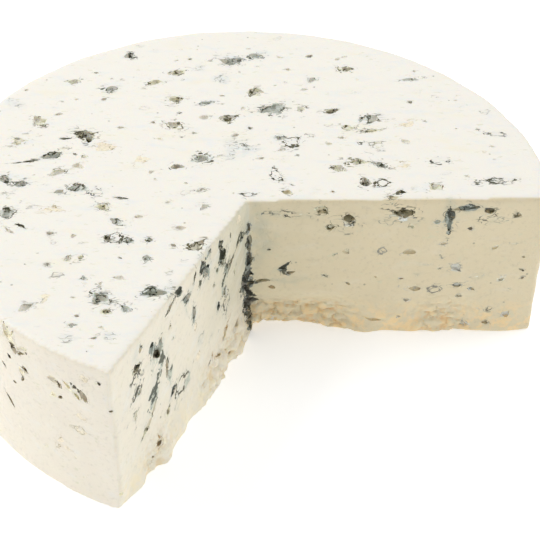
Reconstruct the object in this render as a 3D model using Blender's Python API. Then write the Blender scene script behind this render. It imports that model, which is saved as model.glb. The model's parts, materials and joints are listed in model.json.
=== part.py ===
"""A short wheel of danish blue cheese with a wide wedge taken out of it.

The wheel was cut flat through its middle, so its top is a smooth cut face. It stands on its own
base. The origin is the middle of the wheel's round on that base, and +Z is up. The near cut runs
from the notch's apex towards -Y, and the far cut runs from the apex towards +X.
"""

import math
import random
from typing import NamedTuple

import bmesh
import bpy
from mathutils import Matrix, Vector, noise

MM = 0.001

# Driving dimensions of the wheel.
WHEEL_RADIUS = 100 * MM
WHEEL_HEIGHT = 57 * MM
NOTCH_APEX = Vector((1 * MM, -13 * MM, 0))
NEAR_CUT_TURN = math.radians(-114)
FAR_CUT_TURN = math.radians(2)

# How finely the walls are divided.
RIM_STEP = 6.6 * MM
WALL_STEP = 6.4 * MM
CUT_STEP = 4.6 * MM
EDGE_ROUND = 1.3 * MM
EDGE_SEGMENTS = 2
SHARP_EDGE = math.radians(48)

# Relief of the walls: the round is slightly uneven, its skin is dimpled, and the foot crumbles.
ROUND_UNEVEN = 0.6 * MM
ROUND_WAVES = 2.2
DIMPLE_DEPTH = 0.5 * MM
DIMPLE_SPAN = 14 * MM
CUT_DEPTH = 0.4 * MM
CRUMBLE_HEIGHT = 19 * MM
CRUMBLE_DEPTH = 1.2 * MM
CRUMBLE_SPAN = 9 * MM

# Where the foot of the near cut swells out or sinks in: reach from the apex, half length, swell.
NEAR_FOOT_SWELLS = (
    (9 * MM, 16 * MM, 3.8 * MM),
    (29 * MM, 13 * MM, 3.4 * MM),
    (38 * MM, 10 * MM, 1.4 * MM),
    (51 * MM, 10 * MM, 2.4 * MM),
    (63 * MM, 10 * MM, 3.6 * MM),
    (76 * MM, 9 * MM, 0.8 * MM),
)

# The crumbled hollow under the far cut, close to the apex.
FAR_FOOT_DEPTH = 5.6 * MM
FAR_FOOT_FULL = 16 * MM
FAR_FOOT_END = 44 * MM
FAR_FOOT_HEIGHT = 20 * MM

PASTE_COLOUR = (0.86, 0.81, 0.68, 1)
PASTE_ROUGHNESS = 0.55


class Opening(NamedTuple):
    """One pocket between the curds, in millimetres and degrees on the face that it opens in.

    On the top, across and up are X and Y. On a cut, across runs out from the apex and up is Z.
    On the rim, across is the bearing in degrees and up is Z.
    """

    across: float
    up: float
    length: float
    width: float
    depth: float
    turn: float = 0


TOP_OPENINGS = (
    Opening(-6, 76, 10.5, 6.5, 3.5, 4),
    Opening(3, 80, 6, 5, 2, 10),
    Opening(-64, 60, 6.5, 3.6, 1.4, 10),
    Opening(-50, 55, 6, 4.5, 1.8, 15),
    Opening(-34, 60, 7.5, 3.6, 1.4, 25),
    Opening(-27, 67, 7.4, 4, 1.4, 15),
    Opening(2, 54, 6, 6, 1.8, -20),
    Opening(-26, 48, 7, 5, 1.6, 30),
    Opening(-72, 33, 7, 5.5, 1.6, 125),
    Opening(-55, 24, 7, 8, 6, 15),
    Opening(-78, 20, 7, 5.5, 1.6, 25),
    Opening(-25, 31, 7, 5, 1.6, 150),
    Opening(-7, 36, 6.5, 5, 1.6, 10),
    Opening(9, 43, 11, 8, 1.6, 28),
    Opening(-65, 12, 8, 4.6, 3, 30),
    Opening(-62, 2, 7, 3.6, 1.2, 35),
    Opening(-15, 11, 7.5, 5.5, 2.2, 20),
    Opening(-23, 6, 5.4, 3.6, 4, 5),
    Opening(-73, -5, 5.6, 5, 2, -10),
    Opening(-54, -7, 7, 5, 2, -8),
    Opening(-75, -21, 6, 6.5, 1.6, 10),
    Opening(-45, -17, 5, 4, 1.4, -35),
    Opening(-42, -33, 3.6, 3, 2.6, 60),
    Opening(36, 71, 6.5, 5, 1.6, -5),
    Opening(30, 42, 7.2, 3.2, 4, 20),
    Opening(44, 37, 6, 4.6, 1.8, 55),
    Opening(35, 31, 5.5, 3.6, 1.2, -10),
    Opening(39, 10, 8.5, 3.4, 1.4, -22),
    Opening(31, 6, 6, 4.4, 1.4, -20),
    Opening(39.5, -2, 5, 5.6, 5.5, 0),
    Opening(62, -4, 5, 5, 1.5, -45),
    Opening(-41, -62, 7.6, 5, 2.6, -35),
    Opening(-26, -59, 8, 5, 2.6, 10),
)

NEAR_CUT_OPENINGS = (
    Opening(21, 50, 5, 3.4, 1.4, -120),
    Opening(28, 50, 5, 4, 1.6, -145),
    Opening(63, 43.5, 10, 8.5, 3.4, -140),
    Opening(52, 25, 6, 3.6, 1.4, -160),
    Opening(75, 47, 5, 4.2, 4.4, 20),
)

FAR_CUT_OPENINGS = (
    Opening(24, 53, 5.6, 3.6, 1.1, -25),
    Opening(33, 49.5, 4.6, 3.8, 4.5, 0),
    Opening(51, 51.5, 9, 4.2, 4.4, -3),
    Opening(66, 50, 11, 2.6, 1.1, 92),
    Opening(79, 52, 4.4, 2, 3, -8),
)

RIM_OPENINGS = (
    Opening(-132, 54, 6, 4.6, 1.5, -40),
    Opening(-131, 49.5, 7, 5, 1.9, -35),
    Opening(-128.6, 49, 5, 2.6, 1.5, 10),
    Opening(-128, 43, 4.4, 2.4, 1.2, -60),
    Opening(-134, 24, 9, 3.4, 1.6, -62),
    Opening(-121.6, 40, 4, 2.6, 1, -30),
    Opening(-116.4, 44.6, 6.4, 3.2, 1.7, -55),
)

# The crevice down the apex, as lobes along it: place across, height, width and tallness of each.
CREVICE_LOBES = (
    (0, 42, 3, 13),
    (0, 33, 3.8, 9),
    (-0.8, 27, 5.6, 8),
    (-1.6, 22.5, 8.4, 8),
    (-0.6, 17, 6.2, 8),
    (1, 12, 8.4, 9),
    (0.6, 6, 6.4, 8),
    (0, 1, 4, 7),
)
CREVICE_DEPTH = 0.35

# Openings of the rim that faces away, strewn by a seeded draw.
STREWN_COUNT = 17
STREWN_SEED = 11
STREWN_BEARINGS = (0, 218)
STREWN_HEIGHTS = (8, 51)
STREWN_LENGTHS = (3, 6)
STREWN_GAP = 10

# The shape of a pocket: how much of its depth lies under the face, and how round curds squeeze it.
FINE_AREA = 52
SUNK = 0.25
CURD_SPAN = 4.2 * MM
POCKET_SIZE = 0.9
POCKET_SWELL = 0.35
POCKET_SQUEEZE = 0.45
CURD_EDGE = 0.62


def clear_scene():
    """Removes what a new file starts with."""
    for old in list(bpy.data.objects):
        bpy.data.objects.remove(old)


def collection(name, hidden):
    """A collection in the scene, kept out of renders if it holds cutters."""
    made = bpy.data.collections.new(name)
    made.hide_render = hidden
    bpy.context.scene.collection.children.link(made)
    return made


def paste_material():
    """The cream paste of the cheese."""
    material = bpy.data.materials.new("paste")
    material.use_nodes = True
    shader = material.node_tree.nodes["Principled BSDF"]
    shader.inputs["Base Color"].default_value = PASTE_COLOUR
    shader.inputs["Roughness"].default_value = PASTE_ROUGHNESS
    shader.inputs["Metallic"].default_value = 0
    return material


def heading(turn):
    """The level unit vector at this turn from +X."""
    return Vector((math.cos(turn), math.sin(turn), 0))


NEAR_ALONG = heading(NEAR_CUT_TURN)
NEAR_OUT = heading(NEAR_CUT_TURN + math.pi / 2)
FAR_ALONG = heading(FAR_CUT_TURN)
FAR_OUT = heading(FAR_CUT_TURN - math.pi / 2)


def cut_length(along):
    """The distance from the apex to the round along one cut."""
    lean = NOTCH_APEX.dot(along)
    return -lean + math.sqrt(lean**2 - NOTCH_APEX.length_squared + WHEEL_RADIUS**2)


def wheel_outline():
    """The plan of the wheel: its round from the far cut to the near cut, and then the apex."""
    ends = []
    for along in (FAR_ALONG, NEAR_ALONG):
        end = NOTCH_APEX + along * cut_length(along)
        ends.append(math.atan2(end.y, end.x))
    sweep = (ends[1] - ends[0]) % math.tau
    steps = round(sweep * WHEEL_RADIUS / RIM_STEP)
    rim = [heading(ends[0] + sweep * i / steps) * WHEEL_RADIUS for i in range(steps + 1)]
    return [*rim, NOTCH_APEX]


def outline_solid(name, outline, height, target):
    """A flat outline stood up to a height, as a closed mesh."""
    curve = bpy.data.curves.new(name, "CURVE")
    curve.dimensions = "2D"
    curve.fill_mode = "BOTH"
    curve.extrude = height / 2
    spline = curve.splines.new("POLY")
    spline.points.add(len(outline) - 1)
    for point, place in zip(spline.points, outline):
        point.co = (place.x, place.y, 0, 1)
    spline.use_cyclic_u = True
    guide = bpy.data.objects.new(name, curve)
    guide.location.z = height / 2
    target.objects.link(guide)
    bpy.context.view_layer.update()
    evaluated = guide.evaluated_get(bpy.context.evaluated_depsgraph_get())
    mesh = bpy.data.meshes.new_from_object(evaluated)
    mesh.transform(guide.matrix_world)
    bpy.data.objects.remove(guide)
    bm = bmesh.new()
    bm.from_mesh(mesh)
    bmesh.ops.remove_doubles(bm, verts=bm.verts, dist=0.01 * MM)
    bmesh.ops.dissolve_limit(
        bm, angle_limit=math.radians(1), verts=bm.verts, edges=bm.edges
    )
    bmesh.ops.recalc_face_normals(bm, faces=bm.faces)
    bm.to_mesh(mesh)
    bm.free()
    solid = bpy.data.objects.new(name, mesh)
    target.objects.link(solid)
    return solid


def steps_between(low, high, step):
    """Evenly spaced values inside a span, about one step apart."""
    count = round((high - low) / step)
    return [low + (high - low) * i / count for i in range(1, count)]


def divide_walls(bm):
    """Rings round every wall, and upright lines on the two cuts."""
    for z in steps_between(0, WHEEL_HEIGHT, WALL_STEP):
        bmesh.ops.bisect_plane(
            bm,
            geom=[*bm.verts, *bm.edges, *bm.faces],
            plane_co=(0, 0, z),
            plane_no=(0, 0, 1),
        )
    for along, out in ((NEAR_ALONG, NEAR_OUT), (FAR_ALONG, FAR_OUT)):
        for reach in steps_between(0, cut_length(along), CUT_STEP):
            faces = [f for f in bm.faces if f.normal.dot(out) > 0.99]
            edges = {e for f in faces for e in f.edges}
            verts = {v for f in faces for v in f.verts}
            bmesh.ops.bisect_plane(
                bm,
                geom=[*verts, *edges, *faces],
                plane_co=NOTCH_APEX + along * reach,
                plane_no=along,
            )


def curd(place, span):
    """How far a point is from the nearest curd's middle, as a share of the curds' span."""
    return noise.voronoi(place / span)[0][0]


def fade(value, full, end):
    """One up to the first value, nothing past the second, and smooth between them."""
    share = min(1, max(0, (end - value) / (end - full)))
    return share * share * (3 - 2 * share)


def crumble(place):
    """How far crumbs stand in or out of the foot of a cut, more the lower they are."""
    lumps = noise.noise(place / CRUMBLE_SPAN) + 0.3 - 0.6 * curd(place, CRUMBLE_SPAN)
    return lumps * CRUMBLE_DEPTH * fade(place.z, 0, CRUMBLE_HEIGHT)


def near_foot(reach, height):
    """How far the foot of the near cut sinks in at this reach from the apex."""
    swell = sum(size * fade(abs(reach - middle), 0, span) for middle, span, size in NEAR_FOOT_SWELLS)
    return -swell * fade(height, 0, CRUMBLE_HEIGHT)


def far_foot(reach, height):
    """How far the foot of the far cut sinks in at this reach from the apex."""
    along = fade(reach, FAR_FOOT_FULL, FAR_FOOT_END)
    return FAR_FOOT_DEPTH * along * fade(height, FAR_FOOT_HEIGHT / 3, FAR_FOOT_HEIGHT)


def wall_relief(bm):
    """Moves the walls in and out: an uneven round, dimples, and a crumbled foot on the cuts."""
    moves = {v: Vector() for v in bm.verts}
    bm.normal_update()
    for vert in bm.verts:
        walls = [f for f in vert.link_faces if abs(f.normal.z) < 0.5]
        if not walls:
            continue
        place = vert.co.copy()
        if any(f.normal.dot(NEAR_OUT) < 0.99 and f.normal.dot(FAR_OUT) < 0.99 for f in walls):
            out = Vector((place.x, place.y, 0)).normalized()
            uneven = noise.noise(out * ROUND_WAVES) * ROUND_UNEVEN
            dimple = noise.noise(place / DIMPLE_SPAN) * DIMPLE_DEPTH
            moves[vert] += out * (uneven + dimple)
        for out, along, foot in (
            (NEAR_OUT, NEAR_ALONG, near_foot),
            (FAR_OUT, FAR_ALONG, far_foot),
        ):
            if not any(f.normal.dot(out) > 0.99 for f in walls):
                continue
            reach = (place - NOTCH_APEX).dot(along)
            dents = noise.noise(place / DIMPLE_SPAN) * CUT_DEPTH
            moves[vert] -= out * (dents + crumble(place) + foot(reach, place.z))
    for vert, move in moves.items():
        vert.co += move


def round_edges(bm):
    """Rounds the edges where two faces of the wheel meet."""
    bm.normal_update()
    edges = [e for e in bm.edges if e.is_manifold and e.calc_face_angle(0) > SHARP_EDGE]
    bmesh.ops.bevel(
        bm,
        geom=edges,
        offset=EDGE_ROUND,
        offset_type="OFFSET",
        segments=EDGE_SEGMENTS,
        profile=0.5,
        affect="EDGES",
        clamp_overlap=True,
    )


def wheel_body(target):
    """The wheel without its openings."""
    body = outline_solid("cheese_wheel", wheel_outline(), WHEEL_HEIGHT, target)
    bm = bmesh.new()
    bm.from_mesh(body.data)
    divide_walls(bm)
    wall_relief(bm)
    round_edges(bm)
    bmesh.ops.recalc_face_normals(bm, faces=bm.faces)
    bm.to_mesh(body.data)
    bm.free()
    return body


def face_frame(origin, across, out):
    """A matrix whose X runs across a face, whose Z points out of it, and whose Y follows."""
    up = out.cross(across)
    frame = Matrix((across, up, out)).transposed().to_4x4()
    frame.translation = origin
    return frame


def top_frame(opening):
    """The frame of an opening in the flat top."""
    place = Vector((opening.across * MM, opening.up * MM, WHEEL_HEIGHT))
    return face_frame(place, Vector((1, 0, 0)), Vector((0, 0, 1)))


def near_cut_frame(opening):
    """The frame of an opening in the near cut."""
    place = NOTCH_APEX + NEAR_ALONG * opening.across * MM + Vector((0, 0, opening.up * MM))
    return face_frame(place, -NEAR_ALONG, NEAR_OUT)


def far_cut_frame(opening):
    """The frame of an opening in the far cut."""
    place = NOTCH_APEX + FAR_ALONG * opening.across * MM + Vector((0, 0, opening.up * MM))
    return face_frame(place, FAR_ALONG, FAR_OUT)


def rim_frame(opening):
    """The frame of an opening in the rim."""
    out = heading(math.radians(opening.across))
    place = out * WHEEL_RADIUS + Vector((0, 0, opening.up * MM))
    return face_frame(place, Vector((0, 0, 1)).cross(out), out)


def pocket(name, frame, opening, target):
    """A cutter for one opening: a blob squeezed by the round curds about it."""
    bm = bmesh.new()
    fine = opening.length * opening.width > FINE_AREA
    bmesh.ops.create_icosphere(bm, subdivisions=3 if fine else 2, radius=1)
    size = Vector((opening.length / 2, opening.width / 2, opening.depth)) * MM
    turn = Matrix.Rotation(math.radians(opening.turn), 4, "Z")
    sink = Matrix.Translation((0, 0, -SUNK * opening.depth * MM))
    place = frame @ turn @ sink
    for vert in bm.verts:
        vert.co = place @ Vector(a * b for a, b in zip(vert.co, size))
    middle = place.translation
    for vert in bm.verts:
        swell = POCKET_SIZE + POCKET_SWELL * noise.noise(vert.co / CURD_SPAN)
        squeeze = POCKET_SQUEEZE * max(0, CURD_EDGE - curd(vert.co, CURD_SPAN))
        vert.co = middle + (vert.co - middle) * (swell - squeeze)
    mesh = bpy.data.meshes.new(name)
    bm.to_mesh(mesh)
    bm.free()
    made = bpy.data.objects.new(name, mesh)
    made.display_type = "WIRE"
    made.hide_render = True
    target.objects.link(made)
    return made


def strewn_openings():
    """Openings of the rim that faces away, kept clear of each other."""
    draw = random.Random(STREWN_SEED)
    per_degree = math.radians(WHEEL_RADIUS / MM)
    kept = []
    while len(kept) < STREWN_COUNT:
        length = draw.uniform(*STREWN_LENGTHS)
        new = Opening(
            draw.uniform(*STREWN_BEARINGS),
            draw.uniform(*STREWN_HEIGHTS),
            length,
            length * draw.uniform(0.5, 0.9),
            length * draw.uniform(0.3, 0.45),
            draw.uniform(-50, 50),
        )
        apart = (math.hypot((new.across - k.across) * per_degree, new.up - k.up) for k in kept)
        if all(distance > STREWN_GAP for distance in apart):
            kept.append(new)
    return kept


def crevice_openings():
    """The lobes of the crevice down the apex, as openings of the far cut at the apex."""
    return [
        Opening(across, up, wide, tall, wide * CREVICE_DEPTH)
        for across, up, wide, tall in CREVICE_LOBES
    ]


def cutters(target):
    """Every opening's cutter."""
    faces = (
        ("top", top_frame, TOP_OPENINGS),
        ("near_cut", near_cut_frame, NEAR_CUT_OPENINGS),
        ("far_cut", far_cut_frame, FAR_CUT_OPENINGS),
        ("crevice", far_cut_frame, crevice_openings()),
        ("rim", rim_frame, [*RIM_OPENINGS, *strewn_openings()]),
    )
    for face, frame_of, openings in faces:
        for number, opening in enumerate(openings):
            pocket(f"{face}_opening_{number}", frame_of(opening), opening, target)


def main():
    """Builds the wheel and cuts its openings."""
    clear_scene()
    cheese = collection("danish_blue_cheese", hidden=False)
    tools = collection("opening_cutters", hidden=True)
    body = wheel_body(cheese)
    body.data.materials.append(paste_material())
    cutters(tools)
    cut = body.modifiers.new("openings", "BOOLEAN")
    cut.operation = "DIFFERENCE"
    cut.operand_type = "COLLECTION"
    cut.collection = tools
    cut.solver = "EXACT"
    body.data.set_sharp_from_angle(angle=math.radians(35))


main()
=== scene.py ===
"""The looks of a short wheel of danish blue cheese with a wide wedge taken out of it.

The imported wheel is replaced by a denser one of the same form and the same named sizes. Its skin
is dimpled, its foot crumbles, and its mould-lined openings are cut into the paste. Each opening
and each stain also leaves its own coordinates on the mesh, and the paste's finish paints them.
Lengths are in metres and +Z is up, as in the frame.
"""

from __future__ import annotations

import json
import logging
import math
import random
from collections.abc import Callable, Iterator, Sequence
from contextlib import contextmanager
from dataclasses import dataclass, field
from enum import Enum
from typing import Any

import bmesh
import bpy
import numpy as np
from mathutils import Matrix, Vector, noise

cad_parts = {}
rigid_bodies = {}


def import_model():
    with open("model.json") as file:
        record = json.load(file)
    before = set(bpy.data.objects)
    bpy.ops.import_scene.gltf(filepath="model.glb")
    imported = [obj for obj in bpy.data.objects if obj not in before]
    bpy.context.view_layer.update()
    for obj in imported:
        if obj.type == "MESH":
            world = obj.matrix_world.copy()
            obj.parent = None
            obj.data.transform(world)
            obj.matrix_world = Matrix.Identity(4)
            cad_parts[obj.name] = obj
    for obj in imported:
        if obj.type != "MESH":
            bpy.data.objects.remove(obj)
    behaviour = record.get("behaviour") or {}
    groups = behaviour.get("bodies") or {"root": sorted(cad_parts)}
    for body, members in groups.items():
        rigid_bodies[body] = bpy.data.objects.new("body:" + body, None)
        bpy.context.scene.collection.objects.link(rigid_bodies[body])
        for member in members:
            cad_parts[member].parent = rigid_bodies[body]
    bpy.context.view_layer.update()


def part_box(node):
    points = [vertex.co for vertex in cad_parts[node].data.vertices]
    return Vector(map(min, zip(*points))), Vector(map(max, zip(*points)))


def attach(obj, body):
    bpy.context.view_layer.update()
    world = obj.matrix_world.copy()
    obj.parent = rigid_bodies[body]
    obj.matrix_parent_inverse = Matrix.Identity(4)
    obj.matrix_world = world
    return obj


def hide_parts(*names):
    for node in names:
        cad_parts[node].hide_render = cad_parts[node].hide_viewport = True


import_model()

MM = 0.001
# A mark's outline: how far its corners draw in, where along it a bend leaves it in place, and how
# much of its taper its width takes.
CORNERS = 0.5
BEND_MIDDLE = 0.3
TAPER_SHARE = 0.7
NODE = "cheese_wheel"
NOISE_SEED = 11

Colour = tuple[float, float, float]
Number = "Signal | float"

log = logging.getLogger("cheese")


def srgb(red: float, green: float, blue: float) -> Colour:
    """Turns a display colour into the linear colour that shaders take.

    Args:
        red: The red part, from 0 to 255.
        green: The green part, from 0 to 255.
        blue: The blue part, from 0 to 255.

    Returns:
        The linear colour, each part from 0 to 1.
    """
    parts = (value / 255 for value in (red, green, blue))
    return tuple(p / 12.92 if p <= 0.04045 else ((p + 0.055) / 1.055) ** 2.4 for p in parts)


def fade(value: float, full: float, end: float) -> float:
    """Falls smoothly from one to nothing.

    Args:
        value: Where to read the fall.
        full: The value up to which it is one.
        end: The value past which it is nothing.

    Returns:
        A share from 0 to 1.
    """
    share = min(1.0, max(0.0, (end - value) / (end - full)))
    return share * share * (3 - 2 * share)


def heading(turn: float) -> Vector:
    """Gives the level unit vector at this turn from +X."""
    return Vector((math.cos(turn), math.sin(turn), 0))


def curd(place: Vector, span: float) -> float:
    """Gives how far a point is from the nearest curd's middle, as a share of the span."""
    return noise.voronoi(place / span)[0][0]


# ---------------------------------------------------------------- shader graphs


class Signal:
    """A number that varies over a surface, which Python's operators work on."""

    def __init__(self, graph: Graph, socket: bpy.types.NodeSocket) -> None:
        """Wraps one output socket of a graph."""
        self.graph = graph
        self.socket = socket

    def __add__(self, other: Number) -> Signal:
        """Adds."""
        return self.graph.math("ADD", self, other)

    __radd__ = __add__

    def __sub__(self, other: Number) -> Signal:
        """Takes the other from this."""
        return self.graph.math("SUBTRACT", self, other)

    def __rsub__(self, other: Number) -> Signal:
        """Takes this from the other."""
        return self.graph.math("SUBTRACT", other, self)

    def __mul__(self, other: Number) -> Signal:
        """Multiplies."""
        return self.graph.math("MULTIPLY", self, other)

    __rmul__ = __mul__

    def __abs__(self) -> Signal:
        """Drops the sign."""
        return self.graph.math("ABSOLUTE", self)

    def most(self, other: Number) -> Signal:
        """Gives the larger of two."""
        return self.graph.math("MAXIMUM", self, other)

    def least(self, other: Number) -> Signal:
        """Gives the smaller of two."""
        return self.graph.math("MINIMUM", self, other)

    def rise(self, low: float, high: float) -> Signal:
        """Goes smoothly from 0 at low to 1 at high, or falls where high is the smaller."""
        settings = {"interpolation_type": "SMOOTHSTEP"}
        values = {"Value": self, "From Min": low, "From Max": high}
        return self.graph.out(self.graph.node("ShaderNodeMapRange", settings, values), "Result")


class Graph:
    """The node tree of one material."""

    def __init__(self, name: str) -> None:
        """Starts a material that holds only a Principled shader and its output."""
        self.material = bpy.data.materials.new(name)
        self.material.use_nodes = True
        self.tree = self.material.node_tree
        self.shader = self.tree.nodes["Principled BSDF"]

    def node(
        self,
        kind: str,
        settings: dict[str, Any] | None = None,
        values: dict[str | int, Any] | None = None,
    ) -> bpy.types.Node:
        """Adds a node.

        Args:
            kind: The node's type.
            settings: The node's own settings, such as an operation.
            values: What its input sockets hold or are linked to, by name or number.

        Returns:
            The new node.
        """
        made = self.tree.nodes.new(kind)
        for name, value in (settings or {}).items():
            setattr(made, name, value)
        for name, value in (values or {}).items():
            self.put(made.inputs[name], value)
        return made

    def put(self, socket: bpy.types.NodeSocket, value: Any) -> None:
        """Links a socket to a signal, or sets it to a constant.

        Args:
            socket: The input socket.
            value: A signal, a number, or a colour or vector of three numbers.
        """
        if isinstance(value, Signal):
            self.tree.links.new(value.socket, socket)
        elif socket.type == "RGBA":
            socket.default_value = (*value, 1)
        else:
            socket.default_value = value

    def out(self, node: bpy.types.Node, name: str | int) -> Signal:
        """Wraps one of a node's outputs."""
        return Signal(self, node.outputs[name])

    def math(self, operation: str, *parts: Number) -> Signal:
        """Adds a Math node over one or two numbers."""
        values = dict(enumerate(parts))
        return self.out(self.node("ShaderNodeMath", {"operation": operation}, values), 0)

    def vector(self, operation: str, *parts: Signal | Sequence[float]) -> Signal:
        """Adds a Vector Math node over one or two vectors."""
        values = dict(enumerate(parts))
        return self.out(self.node("ShaderNodeVectorMath", {"operation": operation}, values), 0)

    def scaled(self, vector: Signal, factors: Sequence[float]) -> Signal:
        """Multiplies a vector's parts by three constants."""
        return self.vector("MULTIPLY", vector, tuple(factors))

    def squeezed(self, vector: Signal, axis: Sequence[float], share: float) -> Signal:
        """Takes away a share of a vector's part along a unit axis."""
        dot = self.node("ShaderNodeVectorMath", {"operation": "DOT_PRODUCT"}, {0: vector, 1: axis})
        along = self.out(dot, "Value") * share
        return self.vector("SUBTRACT", vector, self.dimmed(tuple(axis), along))

    def parts(self, vector: Signal) -> tuple[Signal, Signal, Signal]:
        """Splits a vector into its three numbers."""
        made = self.node("ShaderNodeSeparateXYZ", None, {0: vector})
        return self.out(made, 0), self.out(made, 1), self.out(made, 2)

    def attribute(self, name: str, output: str) -> Signal:
        """Reads one of the mesh's own attributes."""
        return self.out(self.node("ShaderNodeAttribute", {"attribute_name": name}), output)

    def cloud(self, place: Signal, span: float, detail: float = 2, rough: float = 0.5) -> Signal:
        """Adds a soft noise.

        Args:
            place: The coordinates, in metres.
            span: The size of its lumps in metres.
            detail: How many finer layers it has.
            rough: How strong the finer layers are.

        Returns:
            A number about 0.5.
        """
        values = {"Vector": place, "Scale": 1 / span, "Detail": detail, "Roughness": rough}
        return self.out(self.node("ShaderNodeTexNoise", None, values), 0)

    def cells(self, place: Signal, span: float) -> tuple[Signal, Signal]:
        """Adds a pattern of irregular cells.

        Args:
            place: The coordinates, in metres.
            span: The size of a cell in metres.

        Returns:
            How far it is to the cell's middle, as a share of the span, and a random number for
            each cell.
        """
        made = self.node("ShaderNodeTexVoronoi", None, {"Vector": place, "Scale": 1 / span})
        draw, _, _ = self.parts(self.out(made, "Color"))
        return self.out(made, "Distance"), draw

    def mixed(self, share: Number, low: Signal | Colour, high: Signal | Colour) -> Signal:
        """Mixes two colours.

        Args:
            share: How much of the second there is, from 0 to 1.
            low: The colour where the share is 0.
            high: The colour where the share is 1.

        Returns:
            The mixed colour.
        """
        values = {0: share, 6: low, 7: high}
        return self.out(self.node("ShaderNodeMix", {"data_type": "RGBA"}, values), 2)

    def dimmed(self, colour: Signal | Sequence[float], share: Signal) -> Signal:
        """Multiplies a colour or a vector by a number."""
        values = {0: colour, "Scale": share}
        return self.out(self.node("ShaderNodeVectorMath", {"operation": "SCALE"}, values), 0)


# ---------------------------------------------------------------- work on meshes


def deselect() -> None:
    """Deselects every object."""
    bpy.ops.object.select_all(action="DESELECT")


def activate(piece: bpy.types.Object) -> None:
    """Makes a piece the only selected object, and the active one."""
    deselect()
    piece.select_set(True)
    bpy.context.view_layer.objects.active = piece


def newest(name: str) -> bpy.types.Object:
    """Names the object that an operator has just added, and its mesh."""
    piece = bpy.context.object
    piece.name = name
    piece.data.name = name
    return piece


def settle(piece: bpy.types.Object) -> None:
    """Moves a piece's place into its mesh."""
    activate(piece)
    bpy.ops.object.transform_apply(location=True, rotation=True, scale=True)


@contextmanager
def picked(
    piece: bpy.types.Object, wanted: Callable[[bpy.types.MeshPolygon], bool]
) -> Iterator[None]:
    """Opens a piece in edit mode with only some faces selected, and closes it again.

    Args:
        piece: The piece.
        wanted: The test of one face, by its place or normal.

    Yields:
        Nothing.
    """
    activate(piece)
    bpy.ops.object.mode_set(mode="EDIT")
    bpy.ops.mesh.select_all(action="DESELECT")
    bpy.ops.object.mode_set(mode="OBJECT")
    for polygon in piece.data.polygons:
        polygon.select = wanted(polygon)
    bpy.ops.object.mode_set(mode="EDIT")
    yield
    bpy.ops.object.mode_set(mode="OBJECT")


def finish_modifier(piece: bpy.types.Object, kind: str, **settings: Any) -> None:
    """Adds a modifier with these settings and applies it."""
    activate(piece)
    modifier = piece.modifiers.new(kind.lower(), kind)
    for name, value in settings.items():
        setattr(modifier, name, value)
    bpy.ops.object.modifier_apply(modifier=modifier.name)


def points_of(mesh: bpy.types.Mesh) -> np.ndarray:
    """Gives a mesh's points as an array of rows."""
    flat = np.empty(len(mesh.vertices) * 3)
    mesh.vertices.foreach_get("co", flat)
    return flat.reshape(-1, 3)


# ---------------------------------------------------------------- what marks the paste


class Kind(Enum):
    """What one mark on the cheese is."""

    SLATE = "an opening lined with dark mould"
    OLIVE = "a small opening with grey-green mould"
    BLUE = "a pale patch ringed by blue"
    FILLED = "an opening filled flush with grey-blue mould"
    # Its dark is partly mould and partly painted shade deep in it.
    HOLE = "a deep dark hole"
    TAN = "a tan stain, flush with the paste"
    CRACK = "a thin dark crack"
    RING = "paste ringed by a thin dark line"
    SEAM = "the dark mould seam down the apex"
    # Its colours are painted light and painted shadow: a lit fill and a dark upper crescent.
    BARE = "an opening in the rim, with no mould"
    # Painted shadow in a crease of the rim.
    SLIT = "a dark slit between the curds of the rim"
    # Its brown is partly painted shade in the crevice.
    CREVICE = "a brown crevice between the crumbs of the foot"
    MOTTLE = "a patch speckled with mould"
    MOULD = "a blot of dark blue-green mould"
    HAZE = "a soft bluish tinge"


@dataclass(frozen=True)
class MarkLook:
    """How one kind of mark is painted and cut.

    Attributes:
        fill: The colour inside it.
        dark: The colour of its darkest mould.
        coverage: How much of the inside has the fill's colour.
        darkness: How much of the inside has the dark colour.
        outline: How strong its dark outline is.
        halo: How strong the bluish tinge about it is.
        depth: The depth of its opening as a share of its width, or 0 for none.
        softness: How much it thins out towards its edge.
    """

    fill: Colour
    dark: Colour
    coverage: float
    darkness: float
    outline: float
    halo: float
    depth: float
    softness: float = 0


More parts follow.
